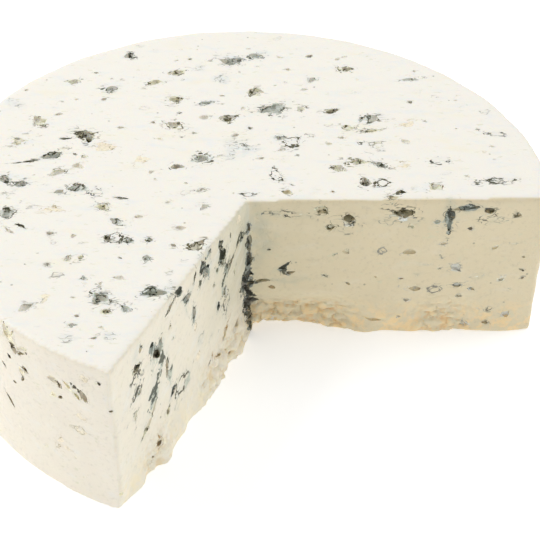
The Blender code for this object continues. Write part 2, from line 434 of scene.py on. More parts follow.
LOOKS = {
    Kind.SLATE: MarkLook(srgb(214, 219, 210), srgb(58, 64, 48), 0.8, 0.2, 1.1, 0.7, 0.4),
    Kind.OLIVE: MarkLook(srgb(228, 226, 200), srgb(82, 78, 44), 0.75, 0.15, 1.0, 0.3, 0.3),
    Kind.BLUE: MarkLook(srgb(228, 232, 228), srgb(110, 118, 108), 0.5, 0.06, 0.8, 0.8, 0, 0.1),
    Kind.FILLED: MarkLook(srgb(196, 200, 190), srgb(90, 94, 80), 1.0, 0.08, 1.1, 0.4, 0.2),
    # A hole's dark is partly mould, partly painted shade deep in it.
    Kind.HOLE: MarkLook(srgb(200, 196, 168), srgb(46, 42, 26), 0.95, 0.34, 0.9, 0.3, 0.8),
    Kind.TAN: MarkLook(srgb(244, 233, 208), srgb(186, 170, 130), 0.85, 0.04, 0.7, 0, 0),
    Kind.CRACK: MarkLook(srgb(150, 153, 138), srgb(78, 80, 66), 0.8, 0.32, 0.8, 0.2, 1.0),
    Kind.RING: MarkLook(srgb(240, 239, 230), srgb(56, 60, 44), 0.4, 0.05, 1.8, 0.5, 0),
    Kind.SEAM: MarkLook(srgb(112, 120, 114), srgb(60, 64, 58), 1.0, 0.45, 0.3, 0.6, 0.5),
    # The rim's bare pits: a fill lighter than the rim, painted light on their walls, and a thin
    # dark crescent on their upper side, painted shadow.
    Kind.BARE: MarkLook(srgb(252, 244, 214), srgb(84, 70, 34), 1.0, 0.1, 0.3, 0, 0.15),
    # Painted shadow: the rim's creases by its pits drawn dark brown.
    Kind.SLIT: MarkLook(srgb(150, 134, 96), srgb(52, 42, 20), 1.1, 0.55, 0.5, 0, 0.8),
    # The crevices' brown, with painted shade in them.
    Kind.CREVICE: MarkLook(srgb(240, 222, 180), srgb(186, 148, 94), 0.6, 0.25, 0.5, 0, 0.7),
    Kind.MOTTLE: MarkLook(srgb(194, 200, 184), srgb(70, 78, 66), 0.95, 0.56, 0, 0.6, 0, 0.2),
    Kind.MOULD: MarkLook(srgb(158, 168, 158), srgb(50, 60, 54), 1.0, 0.5, 0.9, 1.0, 0.2),
    Kind.HAZE: MarkLook(srgb(206, 212, 208), srgb(150, 160, 158), 0, 0, 0, 1.2, 0),
}


@dataclass(frozen=True)
class Mark:
    """One opening or stain, in millimetres and degrees on the face that it lies in.

    On the top, across and up are X and Y. On a cut, across runs out from the apex and up is Z.
    On the rim, across is the bearing in degrees and up is Z.

    Attributes:
        across: Its place across the face.
        up: Its place up the face.
        length: Its size along its own length.
        width: Its size across that.
        kind: What it is.
        turn: The turn of its length from the face's level, in degrees.
        depth: The depth of its opening, where that isn't what its kind has.
        bend: How far its ends curve to the side, where that isn't drawn.
        taper: How much narrower its far end is than its middle, where that isn't drawn.
    """

    across: float
    up: float
    length: float
    width: float
    kind: Kind
    turn: float = 0
    depth: float | None = None
    bend: float | None = None
    taper: float | None = None

    @property
    def opening_depth(self) -> float:
        """The depth of its opening in millimetres, or 0 for none."""
        if self.depth is not None:
            return self.depth
        return LOOKS[self.kind].depth * min(self.length, self.width)


# The kinds' short names in the tables below.
S, O, B, F, H, T, C, R, V, M, D, N, L = (
    Kind.SLATE,
    Kind.OLIVE,
    Kind.BLUE,
    Kind.FILLED,
    Kind.HOLE,
    Kind.TAN,
    Kind.CRACK,
    Kind.RING,
    Kind.CREVICE,
    Kind.MOTTLE,
    Kind.MOULD,
    Kind.BARE,
    Kind.SLIT,
)

TOP_MARKS = (
    Mark(-45, 79, 4, 5, S),
    Mark(-6, 76, 10.5, 6.5, S, 4, 3.5),
    Mark(3, 80, 6, 5, S, 10),
    Mark(-64, 60, 6.5, 3.6, O, 10),
    Mark(-50, 55, 6, 4.5, S, 15),
    Mark(-34, 60, 7.5, 3.6, O, 25),
    Mark(-27, 67, 7.4, 4, O, 15),
    Mark(-19, 70, 3.5, 4, B),
    Mark(-10, 63, 5, 5, B, 20),
    Mark(-83, 44, 4, 6, B, 40),
    Mark(2, 54, 6, 6, O, -20),
    Mark(-26, 48, 7, 5, O, 30),
    Mark(-15, 46, 5.4, 2.7, S, 15),
    Mark(-72, 33, 5.5, 7, O, 35),
    Mark(-55, 24, 7, 8, H, 15, 6),
    Mark(-62, 22, 4, 1.2, C, 5),
    Mark(-78, 20, 7, 5.5, O, 25),
    Mark(-48, 17, 7.5, 6, T, 20),
    Mark(-25, 31, 5, 7, O, 60),
    Mark(-7, 36, 6.5, 5, O, 10),
    Mark(9, 43, 11, 8, F, 28, 1.6),
    Mark(-65, 12, 8, 4.6, S, 30, 3),
    Mark(-73, 8, 11, 1, C, 14),
    Mark(-62, 2, 7, 3.6, O, 35),
    Mark(-15, 11, 7.5, 5.5, S, 20),
    Mark(-23, 6, 5.4, 3.6, H, 5, 4),
    Mark(-3, 17, 8, 9, B, -30),
    Mark(-35, 10, 6, 5, T, 15),
    Mark(-79, -2, 4, 5.5, S, 30),
    Mark(-73, -5, 5.6, 5, S, -10),
    Mark(-54, -7, 7, 5, S, -8),
    Mark(-48, -9, 5.5, 4.4, R, 0),
    Mark(-60, -9, 4, 3, S, 30),
    Mark(-75, -21, 6, 6.5, F, 10, 1.6),
    Mark(-61, -19, 7, 4, T, 5),
    Mark(-45, -17, 5, 4, O, -35),
    Mark(-40, -12, 6, 1.2, C, -10),
    Mark(-73, -30, 5, 1.3, C, -42),
    Mark(-69, -28, 4.5, 1.3, C, -38),
    Mark(-40, -33, 6, 5, R, -10),
    Mark(-42, -33, 3, 3.6, H, -30, 2.6),
    Mark(-35, -35, 4, 3, S, -15),
    Mark(-40, -25, 3, 5, S, 50),
    Mark(-13, -16, 3.2, 3.4, S),
    Mark(-14, -7, 3.4, 2.6, O, 20),
    Mark(-53, -44, 2.6, 3.8, O),
    Mark(-49, -43, 2.6, 3, O),
    Mark(-29, -34, 2.6, 3, S),
    Mark(-29, -43, 2.6, 3.8, S),
    Mark(36, 71, 6.5, 5, O, -5),
    Mark(59, 64, 7, 2.4, S, 3),
    Mark(23, 63, 3.7, 4.4, S, -30),
    Mark(19, 43, 4, 4, O, 40),
    Mark(30, 42, 7.2, 3.2, H, 20, 4),
    Mark(44, 37, 4.6, 6, S, -35),
    Mark(40, 37, 2.2, 4, S, -20),
    Mark(56, 34, 6, 4, T, 30),
    Mark(35, 31, 5.5, 3.6, O, -10),
    Mark(43, 29, 8, 2.2, O, 14),
    Mark(11, 24, 4, 4, S, 0),
    Mark(15, 22, 7, 6, R, -35),
    Mark(44, 20, 5, 6.5, O, -40, 0),
    Mark(39, 21.4, 2.6, 2, R),
    Mark(37.5, 10.4, 9, 4, O, -12),
    Mark(44.4, 8.6, 7, 2.6, S, -28),
    Mark(31, 6, 6, 4.4, O, -20),
    Mark(53, 9, 6, 4, T, 25),
    Mark(65, 11, 6.5, 4, R, -5),
    Mark(39.5, -2, 5, 5.6, H, 0, 5.5),
    Mark(45, -2, 4, 4, R),
    Mark(62, -4, 5, 5, O, -45),
    Mark(51, -7, 3.4, 2.6, S, -10),
    Mark(48, -10, 4.4, 2.6, O),
    Mark(14, -8, 3.6, 3, O, -25),
    Mark(84, 0, 12, 3, R, 6),
    Mark(76, -2, 2.4, 1.6, C),
    Mark(10, 2, 3.6, 8, R, 15),
    Mark(86, 28, 8, 2.2, R, -5),
    Mark(80, 31, 2.6, 1.2, C, -20),
    Mark(-41, -62, 7.6, 5, S, -35, 2.6),
    Mark(-43, -59, 3, 2.6, R),
    Mark(-39, -68, 4.4, 3, O, -10),
    Mark(-33, -67, 3.5, 2.7, S, -20),
    Mark(-26, -59, 8, 5, S, 10, 2.6),
    Mark(-20, -57, 5, 4, B, 20),
    Mark(-48, -74, 2.4, 1.8, S),
    Mark(-48, -80, 4, 2.5, B),
    Mark(-36, -79, 4, 3, B),
    Mark(-47, -53, 2, 2, S),
    Mark(-57, -62, 2.4, 3.4, T),
    Mark(-14.5, -36.6, 7, 4, O, 35),
    Mark(1.4, -9.4, 5, 2, R, 5),
)

NEAR_CUT_MARKS = (
    Mark(20, 53.4, 4.2, 3, D, -92),
    Mark(18.8, 47.8, 7, 5, D, -83, 1.3, 0, 0.1),
    Mark(15.6, 41.6, 5, 3.4, D, -125),
    Mark(22, 44.6, 5, 3, M, -34),
    Mark(18, 36.6, 7, 3, M, -119, None, 0, 0.2),
    Mark(7.1, 45.9, 7, 1.8, C, -122, None, 0.1, 0),
    Mark(12.4, 40.6, 8, 1.8, C, -135, None, 0.1, 0),
    Mark(4, 45.6, 4.2, 3, D, 10),
    Mark(9.7, 35.5, 3.6, 2, O, -91),
    Mark(29.6, 49.4, 6.4, 5, D, -60, 1.6, 0, 0.1),
    Mark(32, 53.2, 6.6, 4.4, D, -70),
    Mark(27.6, 55, 4, 2.4, D, -158),
    Mark(37.6, 53.4, 4.6, 1.6, C, -114, None, 0, 0),
    Mark(34, 47.6, 4, 2.2, M, -93),
    Mark(24.7, 40.2, 2, 1.8, O, -92),
    Mark(16.4, 27.6, 9, 5, R, -98, None, 0, 0),
    Mark(17.6, 32.6, 3.4, 2.8, D, -107),
    Mark(22.2, 30, 4.4, 2.6, D, -97),
    Mark(47.6, 54.8, 6, 3.4, D, -51),
    Mark(53.6, 53.4, 7, 1.8, C, -158, None, 0, 0),
    Mark(43, 49.2, 5.6, 4, D, 174),
    Mark(43.6, 45, 5, 2.4, M, -86),
    Mark(39.4, 40, 7.4, 2.8, D, -93, None, 0.1, 0),
    Mark(38.4, 34.4, 3.6, 1.8, T, -95),
    Mark(54, 46.4, 2.2, 1.6, O, -126),
    Mark(35, 26.2, 3.6, 3.4, B, -72),
    Mark(6.4, 54, 4, 3, T, -75),
    Mark(13, 52, 3, 1.1, C, -91),
    Mark(62.4, 43, 8.4, 8, D, -140, 3.4, 0.1, 0.1),
    Mark(65.6, 47, 5, 4, D, -100),
    Mark(63, 42, 13, 9, M, -130, None, 0, 0),
    Mark(59.6, 38, 7, 5, M, -110, None, 0, 0.1),
    Mark(57, 33, 9, 1.8, C, -98, None, 0.1, 0),
    Mark(62, 32.4, 7, 2.4, M, -125),
    Mark(55.6, 28, 7, 3, M, -105),
    Mark(53.8, 20, 4.4, 3.2, D, -160),
    Mark(49, 18, 9, 6.6, R, -150),
    Mark(44.6, 16.4, 6, 3.4, M, -130),
    Mark(73, 51, 5, 4.6, Kind.HAZE, -100),
    Mark(72, 52, 4, 2, S, -100),
    Mark(75, 47, 5, 4.2, H, 20, 4.4),
    Mark(76, 41, 9, 6, R, -110, None, 0, 0),
    Mark(74, 37, 4, 2.4, S, -150),
    Mark(66, 28, 14, 6, M, -125),
    Mark(66, 24, 6, 2, O, -125),
    Mark(37, 20, 5, 3, T, -120),
    Mark(72, 19, 9, 2.6, O, -150),
    Mark(77, 30, 4, 2.2, O, -120),
    Mark(58, 15, 4, 2.2, O, -130),
    Mark(3, 25, 5, 10, Kind.SEAM, 0, 1.2, 0, 0),
    Mark(10, 12, 9, 1.6, V, -160),
    Mark(17, 16, 8, 2.2, V, -130),
    Mark(22, 9, 9, 1.8, V, 160),
    Mark(15, 6, 7, 1.6, V, -140),
    Mark(30, 12, 6, 1.4, V, -150),
    Mark(37, 7, 7, 1.6, V, -160),
    Mark(66, 9, 6, 3.0, V, -100),
    Mark(69, 5, 7, 1.8, V, -150),
    Mark(63, 4, 5, 1.6, V, 170),
)

FAR_CUT_MARKS = (
    Mark(24, 53, 5.6, 3.6, O, -25),
    Mark(33, 49.5, 4.6, 3.8, H, 0, 4.5, 0, 0),
    Mark(33, 46, 4.4, 4.4, R, -60),
    Mark(51, 51.5, 9, 4.2, H, -3, 4.4),
    Mark(50, 49, 12, 3, B, -3),
    Mark(66, 49.6, 12, 3.8, D, 92, 1.1, 0, 0.2),
    Mark(72, 53.6, 9, 2.8, D, 5, 0.8, 0.2, 0.3),
    Mark(79, 52, 4.4, 2, H, -8, 3),
    Mark(79, 49.5, 7, 3.6, R, -5),
    Mark(62, 48, 3, 1.8, S),
    Mark(54, 46, 2.4, 2, O),
    Mark(27, 46, 3.4, 2.6, O),
    Mark(14, 51.6, 13, 2.4, R, -8, None, 0.2, 0),
    Mark(9, 52.4, 4, 1.6, B, 20),
    Mark(3, 43, 17, 8, Kind.HAZE, 90),
    Mark(14, 24, 9, 2, Kind.HAZE, 0),
    Mark(12, 29.6, 5.6, 2.2, D, 35),
    Mark(13.6, 27.2, 4.6, 1.4, C, 5),
    Mark(7, 37, 3, 1.4, C, 10),
    Mark(5, 24, 5.4, 1.4, C, 6),
    Mark(8, 21, 3, 2, V),
    Mark(8, 15, 7, 1.4, V, 10),
    Mark(13, 9, 6, 2.4, V, -20),
    Mark(9, 5, 8, 2.0, V, 8),
    Mark(19, 13, 7, 1.8, V, 15),
    Mark(23, 6, 8, 2.2, V, -5),
    Mark(33, 10, 6, 1.6, V, 10),
    Mark(43, 6, 7, 1.4, V, -8),
)

# The seam down the apex, as lobes along it: the place across, the height, and the size of each.
SEAM_LOBES = (
    (0, 46, 2.2, 9),
    (0, 40, 3.2, 9),
    (0, 33, 3.8, 9),
    (-0.8, 27, 5.6, 8),
    (-1.6, 22.5, 8.4, 8),
    (-0.6, 17, 6.2, 8),
    (1.0, 12, 8.4, 9),
    (0.6, 6, 6.4, 8),
    (0, 1, 4, 7),
)

RIM_MARKS = (
    Mark(-131.9, 53.8, 6, 4.4, N, -50, 0.8),
    Mark(-131.1, 54.2, 5.6, 1.2, L, -124, 1.1, 0.3, 0),
    Mark(-132.3, 55.6, 2.4, 1.1, L, -30),
    Mark(-130.8, 49, 3.8, 2.1, L, -56, 1.4),
    Mark(-129.2, 48.9, 5, 1.4, L, 19, 1.1, 0.1, 0.2),
    Mark(-128.6, 51, 5.4, 2.6, N, 30, 0.6),
    Mark(-132.1, 44.7, 2.2, 1.5, L, -33),
    Mark(-134.4, 38.6, 2.8, 1, L, -58),
    Mark(-128.3, 43.7, 3, 1.2, L, -40, 1),
    Mark(-129.4, 42, 3.6, 2.4, N, -50, 0.4),
    Mark(-129.5, 38.4, 2.8, 1.3, L, -114),
    Mark(-132, 34.4, 2.2, 1.1, L),
    Mark(-134.1, 24.5, 6.4, 1.3, L, -50, 1.2, 0.2, 0.4),
    Mark(-120.8, 44.8, 2.2, 1, L, -73, 0.6),
    Mark(-122, 45.6, 4, 2.4, N, -20, 0.5),
    Mark(-120.9, 39.6, 2.4, 1.3, L, 45),
    Mark(-122.3, 39.3, 3.6, 2.6, N, 28, 0.6),
    Mark(-117.8, 47.3, 3, 1.1, L, -38, 0.8),
    Mark(-118.9, 46.2, 4, 2.4, N, -30, 0.5),
    Mark(-115.8, 44.1, 4.8, 2.1, L, -65, 1.4, 0.1, 0.2),
    Mark(-117.3, 43.6, 4.6, 2.6, N, -50, 0.6),
    Mark(-112.6, 51.6, 1.8, 1.2, L),
    Mark(-115.4, 51.6, 3.4, 3, T),
    Mark(-117, 35, 3.4, 2.6, T),
    Mark(-117.4, 29, 5, 3, T),
    Mark(-121.6, 19, 6, 5, T),
    Mark(-111, 42, 1.8, 1.3, L, -20),
    Mark(-110.4, 7, 3, 2.6, N, 0, 1),
)


# ---------------------------------------------------------------- the wheel's form


@dataclass
class WheelForm:
    """The wheel's plan, and how its walls stand in and out.

    Attributes:
        height: The wheel's height, from the frame.
        radius: The radius of its round.
        apex: The point of the missing wedge.
        near_turn: The heading of the near cut from the apex.
        far_turn: The heading of the far cut from the apex.
        round_uneven: How far the round departs from true.
        round_waves: How often it does.
        dimple_span: The size of the walls' wide dimples.
        dimple_depth: Their depth on the rim.
        cut_depth: Their depth on the cuts.
        crumble_height: How high the foot crumbles.
        crumble_depth: How deep it crumbles.
        crumble_span: The size of its lumps.
        near_foot_swells: Where the near cut's foot stands out: how far from the apex, how far to
            each side, and how much.
        far_foot_depth: The depth of the hollow under the far cut.
        far_foot_full: How far from the apex that hollow is at its full depth.
        far_foot_end: Where it has run out.
        far_foot_height: How high it reaches.
        crumb_span: The size of the foot's crumbs.
        crumb_end: How far from the apex the foot is crumby.
        crumb_patch: Where on a cut it is crumby again.
    """

    height: float
    radius: float = 100 * MM
    apex: Vector = field(default_factory=lambda: Vector((1 * MM, -13 * MM, 0)))
    near_turn: float = math.radians(-114)
    far_turn: float = math.radians(2)
    round_uneven: float = 0.6 * MM
    round_waves: float = 2.2
    dimple_span: float = 14 * MM
    dimple_depth: float = 0.5 * MM
    cut_depth: float = 0.4 * MM
    crumble_height: float = 19 * MM
    crumble_depth: float = 1.2 * MM
    crumble_span: float = 9 * MM
    near_foot_swells: tuple[tuple[float, float, float], ...] = (
        (9 * MM, 16 * MM, 3.8 * MM),
        (29 * MM, 13 * MM, 3.4 * MM),
        (38 * MM, 10 * MM, 1.4 * MM),
        (51 * MM, 10 * MM, 2.4 * MM),
        (63 * MM, 10 * MM, 3.6 * MM),
        (76 * MM, 9 * MM, 0.8 * MM),
    )
    far_foot_depth: float = 5.6 * MM
    far_foot_full: float = 16 * MM
    far_foot_end: float = 44 * MM
    far_foot_height: float = 20 * MM
    crumb_span: float = 3.8 * MM
    crumb_end: float = 46 * MM
    crumb_patch: float = 67 * MM

    def __post_init__(self) -> None:
        """Works out the headings along and out of the two cuts."""
        self.near_along = heading(self.near_turn)
        self.near_out = heading(self.near_turn + math.pi / 2)
        self.far_along = heading(self.far_turn)
        self.far_out = heading(self.far_turn - math.pi / 2)
        self.cuts = ((self.near_out, self.near_along), (self.far_out, self.far_along))

    def off_cuts(self, place: Vector) -> list[tuple[float, float]]:
        """Gives how far a point is in front of each cut, and how far out from the apex along it."""
        away = place - self.apex
        return [(away.dot(out), away.dot(along)) for out, along in self.cuts]

    def cut_length(self, along: Vector) -> float:
        """Gives the distance from the apex to the round along one cut."""
        lean = self.apex.dot(along)
        return -lean + math.sqrt(lean**2 - self.apex.length_squared + self.radius**2)

    def crumble(self, place: Vector) -> float:
        """Gives how far crumbs stand in or out of the foot of a cut at a point."""
        lumps = noise.noise(place / self.crumble_span) + 0.3
        lumps -= 0.6 * curd(place, self.crumble_span)
        return lumps * self.crumble_depth * fade(place.z, 0, self.crumble_height)

    def crumby(self, reach: float, height: float) -> float:
        """Gives how crumby a cut is at this reach from the apex and this height."""
        inner = fade(reach, 0.6 * self.crumb_end, self.crumb_end)
        outer = 0.8 * fade(abs(reach - self.crumb_patch), 4 * MM, 14 * MM)
        return max(0.15, inner, outer) * fade(height, 6 * MM, 1.1 * self.crumble_height)

    def crease(self, reach: float, height: float) -> float:
        """Gives how deep in a crevice between crumbs a place on a cut's foot is, from 0 to 1."""
        share = self.crumby(reach, height)
        if share <= 0:
            return 0
        place = Vector((0.6 * reach, height, 0)) / self.crumb_span
        place += 0.35 * noise.noise_vector(2 * place)
        near, second = noise.voronoi(place)[0][:2]
        return share * fade(second - near, 0, 0.3)

    def near_foot(self, reach: float, height: float) -> float:
        """Gives how far the near cut's foot sinks in at this reach from the apex."""
        swells = (
            size * fade(abs(reach - middle), 0, span)
            for middle, span, size in self.near_foot_swells
        )
        return -sum(swells) * fade(height, 0, self.crumble_height)

    def far_foot(self, reach: float, height: float) -> float:
        """Gives how far the far cut's foot sinks in at this reach from the apex."""
        along = fade(reach, self.far_foot_full, self.far_foot_end)
        up = fade(height, self.far_foot_height / 3, self.far_foot_height)
        return self.far_foot_depth * along * up


class Face(Enum):
    """A face of the wheel that marks lie in."""

    TOP = "top"
    NEAR_CUT = "near_cut"
    FAR_CUT = "far_cut"
    RIM = "rim"


@dataclass
class FaceMap:
    """Turns places on the wheel's faces into places in the frame.

    Attributes:
        form: The wheel's form.
    """

    form: WheelForm

    def matrix(self, face: Face, across: float, up: float) -> Matrix:
        """Gives the frame of a point on a face.

        Args:
            face: The face.
            across: The place across it, in millimetres, or in degrees on the rim.
            up: The place up it, in millimetres.

        Returns:
            A matrix whose X runs across the face, and whose Z points out of it.
        """
        form = self.form
        level = Vector((0, 0, up * MM))
        if face is Face.TOP:
            place = Vector((across * MM, up * MM, form.height))
            return self._frame(place, Vector((1, 0, 0)), Vector((0, 0, 1)))
        if face is Face.NEAR_CUT:
            place = form.apex + form.near_along * across * MM + level
            return self._frame(place, -form.near_along, form.near_out)
        if face is Face.FAR_CUT:
            place = form.apex + form.far_along * across * MM + level
            return self._frame(place, form.far_along, form.far_out)
        out = heading(math.radians(across))
        return self._frame(out * form.radius + level, Vector((0, 0, 1)).cross(out), out)

    @staticmethod
    def _frame(origin: Vector, across: Vector, out: Vector) -> Matrix:
        """Builds a matrix from an origin and two of its axes."""
        made = Matrix((across, out.cross(across), out)).transposed().to_4x4()
        made.translation = origin
        return made


@dataclass
class PlacedMark:
    """A mark in its place on the wheel.

    Attributes:
        mark: The mark.
        place: The frame of its middle, with X along its length and Z out of the face.
        size: Half its length, its width and its depth, in metres.
        up: The direction up its face, over its size.
        bend: How far its ends curve to the side.
        taper: How much narrower its far end is than its middle.
        strength: How strong its colours are.
    """

    mark: Mark
    place: Matrix
    size: Vector
    up: Vector
    bend: float
    taper: float
    strength: float

    @property
    def space(self) -> Matrix:
        """The matrix from the mark's unit ball to the frame."""
        return self.place @ Matrix.Diagonal((*self.size, 1))


# ---------------------------------------------------------------- all the marks


@dataclass
class MarkMap:
    """Every mark on the wheel, the named ones and those strewn by a seeded draw.

    Attributes:
        form: The wheel's form.
        seed: What the draws start from.
        least_ball: The least depth in which a mark's colours fade, in millimetres.
        ball_depth: That depth as a share of the opening's own.
        seam_depth: The depth of the seam's lobes as a share of their width.
        bends: The least and the greatest bend that is drawn.
        tapers: The least and the greatest taper that is drawn.
        placed: The marks in their places.
    """

    form: WheelForm
    seed: int = 23
    least_ball: float = 1.1
    ball_depth: float = 1.5
    seam_depth: float = 0.35
    bends: tuple[float, float] = (0.1, 0.6)
    tapers: tuple[float, float] = (-0.6, 0.6)
    placed: list[PlacedMark] = field(default_factory=list)

    def place(self, face: Face, mark: Mark, strength: float = 1) -> None:
        """Adds one mark.

        Args:
            face: The face that it lies in.
            mark: The mark.
            strength: How strong its colours are.
        """
        spot = FaceMap(self.form).matrix(face, mark.across, mark.up)
        turned = spot @ Matrix.Rotation(math.radians(mark.turn), 4, "Z")
        deepest = self.ball_depth * mark.opening_depth
        ball = max(deepest, 0.5 * min(mark.length, mark.width), self.least_ball)
        size = Vector((mark.length / 2, mark.width / 2, ball)) * MM
        draw = random.Random(len(self.placed))
        bend = draw.choice((-1, 1)) * draw.uniform(*self.bends) if mark.bend is None else mark.bend
        taper = draw.uniform(*self.tapers) if mark.taper is None else mark.taper
        up = spot.col[1].to_3d() / (0.5 * (size.x + size.y))
        self.placed.append(PlacedMark(mark, turned, size, up, bend, taper, strength))

    def strew(
        self,
        face: Face,
        count: int,
        kinds: Sequence[Kind],
        lengths: tuple[float, float],
        inside: Callable[[float, float], bool],
        box: tuple[float, float, float, float],
        strengths: tuple[float, float],
        turns: tuple[float, float] = (-40, 40),
        gap: float = 1.5,
        slims: tuple[float, float] = (0.4, 0.85),
    ) -> None:
        """Adds marks at random places that keep clear of the rest.

        Args:
            face: The face that they lie in.
            count: How many to try for.
            kinds: The kinds that are drawn from.
            lengths: The least and the greatest length, in millimetres.
            inside: The test of a place across and up the face.
            box: The least across and up, and the greatest across and up.
            strengths: The least and the greatest strength of their colours.
            turns: The least and the greatest turn, in degrees.
            gap: The least gap to another mark, in millimetres.
            slims: The least and the greatest width, as shares of the length.
        """
        draw = random.Random(f"{self.seed} {face.value} {count}")
        faces = FaceMap(self.form)
        taken = [(p.place.translation, max(p.size) / MM) for p in self.placed]
        for _ in range(count):
            across, up = draw.uniform(box[0], box[2]), draw.uniform(box[1], box[3])
            length = lengths[0] + (lengths[1] - lengths[0]) * draw.random() ** 2.2
            width = length * draw.uniform(*slims)
            mark = Mark(across, up, length, width, draw.choice(kinds), draw.uniform(*turns))
            spot = faces.matrix(face, across, up).translation
            clear = all((spot - t).length / MM > length / 2 + r + gap for t, r in taken)
            if inside(across, up) and clear:
                self.place(face, mark, draw.uniform(*strengths))
                taken.append((spot, length / 2))

    def lay_out(self) -> None:
        """Places the named marks, and strews the small ones between them."""
        for face, marks in (
            (Face.TOP, TOP_MARKS),
            (Face.NEAR_CUT, NEAR_CUT_MARKS),
            (Face.FAR_CUT, FAR_CUT_MARKS),
            (Face.RIM, RIM_MARKS),
        ):
            for mark in marks:
                self.place(face, mark)
        for across, height, wide, tall in SEAM_LOBES:
            lobe = Mark(across, height, wide, tall, Kind.SEAM, 0, wide * self.seam_depth, 0, 0)
            self.place(Face.FAR_CUT, lobe)
        self._strew_all()

    def _strew_all(self) -> None:
        """Strews small marks over every face."""
        form = self.form
        height = form.height / MM
        near = form.cut_length(form.near_along) / MM
        far = form.cut_length(form.far_along) / MM

        def on_top(across: float, up: float) -> bool:
            """Keeps a place on the top, clear of its edges."""
            spot = Vector((across, up, 0)) * MM
            in_notch = all(gap > -2 * MM for gap, _ in form.off_cuts(spot))
            return spot.length < form.radius - 3 * MM and not in_notch

        faint, plain = (0.15, 0.6), (0.35, 0.95)
        top = (-97, -92, 97, 97)
        self.strew(Face.TOP, 330, (S, O, O, B, R, C), (2, 6), on_top, top, faint)
        self.strew(Face.TOP, 330, (S, O, O, B, T, C), (0.8, 2.4), on_top, top, plain)
        self.strew(Face.NEAR_CUT, 130, (S, O, O, B, C), (1.2, 5),
                   lambda across, up: up > 14, (3, 3, near - 4, height - 3), faint, (-160, -120))
        self.strew(Face.FAR_CUT, 60, (S, O, O, B, R, F), (2.4, 7),
                   lambda across, up: across > 40 and up < 42, (3, 3, far - 4, height - 16), plain)
        self.strew(Face.FAR_CUT, 60, (O, O, V, C), (1, 3),
                   lambda across, up: True, (3, 3, far - 4, height - 3), plain)
        self.strew(Face.RIM, 120, (N, N, T), (1, 2.6),
                   lambda across, up: True, (-8, 3, 247, height - 3), plain, (-90, 90))
        self.strew(Face.RIM, 40, (N,), (3, 6),
                   lambda across, up: True, (-4, 6, 218, height - 6), (0.9, 1), (-60, 60), 4)
        self.strew(Face.RIM, 60, (L,), (2.4, 5.4), lambda across, up: True,
                   (-4, 6, 218, height - 4), (0.7, 1), (-70, 20), 2, (0.3, 0.45))


# ---------------------------------------------------------------- the openings


@dataclass
class OpeningCutters:
    """The blobs that cut the marks' openings out of the wheel.

    Attributes:
        marks: Every mark.
        sunk: How far a blob's middle lies under the face, as a share of its depth.
        curd_span: The size of the curds that squeeze the blobs.
        large: The area past which a blob is finest, in square millimetres.
        middling: The area past which it is finer than the least.
        blob_size: A blob's size where no curd presses, as a share of its mark's.
        swell: How much that varies.
        squeeze: How far a curd presses in at its middle.
        curd_edge: How far from its middle a curd presses, as a share of its span.
    """

    marks: MarkMap
    sunk: float = 0.25
    curd_span: float = 3.2 * MM
    large: float = 44
    middling: float = 9
    blob_size: float = 0.95
    swell: float = 0.6
    squeeze: float = 0.6
    curd_edge: float = 0.62

    def build(self) -> bpy.types.Collection:
        """Models one blob for each fineness, and copies it for each opening.

        Returns:
            The collection that holds the cutters.
        """
        holder = bpy.data.collections.new("opening_cutters")
        bpy.context.scene.collection.children.link(holder)
        blobs = {fine: self._blob(fine) for fine in (2, 3, 4)}
        for number, placed in enumerate(self.marks.placed):
            if placed.mark.opening_depth <= 0:
                continue
            mesh = blobs[self._fineness(placed.mark)].data.copy()
            self._shape(mesh, placed)
            holder.objects.link(bpy.data.objects.new(f"cutter_{number}", mesh))
        for blob in blobs.values():
            bpy.data.objects.remove(blob)
        return holder

    def _fineness(self, mark: Mark) -> int:
        """Chooses how finely a mark's blob is divided."""
        area = mark.length * mark.width
        return 4 if area > self.large else 3 if area > self.middling else 2

    @staticmethod
    def _blob(fineness: int) -> bpy.types.Object:
        """Models the round blob that every cutter of one fineness starts as."""
        bpy.ops.mesh.primitive_ico_sphere_add(subdivisions=fineness, radius=1)
        return newest(f"blob_{fineness}")

    def _shape(self, mesh: bpy.types.Mesh, placed: PlacedMark) -> None:
        """Sizes a blob to its opening, and lets the curds about it press in.

        Args:
            mesh: The blob's mesh, a unit ball.
            placed: The mark that it opens.
        """
        depth = placed.mark.opening_depth * MM
        for vert in mesh.vertices:
            across, up, _ = vert.co
            corner = 1 / math.sqrt(1 + 2 * CORNERS * abs(across * up))
            up = up - placed.bend * (across**2 - BEND_MIDDLE)
            vert.co.x = across * corner
            vert.co.y = up * corner * (1 - placed.taper * across * TAPER_SHARE)
        sink = Matrix.Translation((0, 0, -self.sunk * depth))
        size = Matrix.Diagonal((placed.size.x, placed.size.y, depth, 1))
        mesh.transform(placed.place @ sink @ size)
        middle = (placed.place @ sink).translation
        for vert in mesh.vertices:
            away = vert.co - middle
            swell = self.blob_size + self.swell * noise.noise(vert.co / self.curd_span)
            press = self.squeeze * max(0, self.curd_edge - curd(vert.co, self.curd_span))
            vert.co = middle + away * (swell - press)


# ---------------------------------------------------------------- the wheel


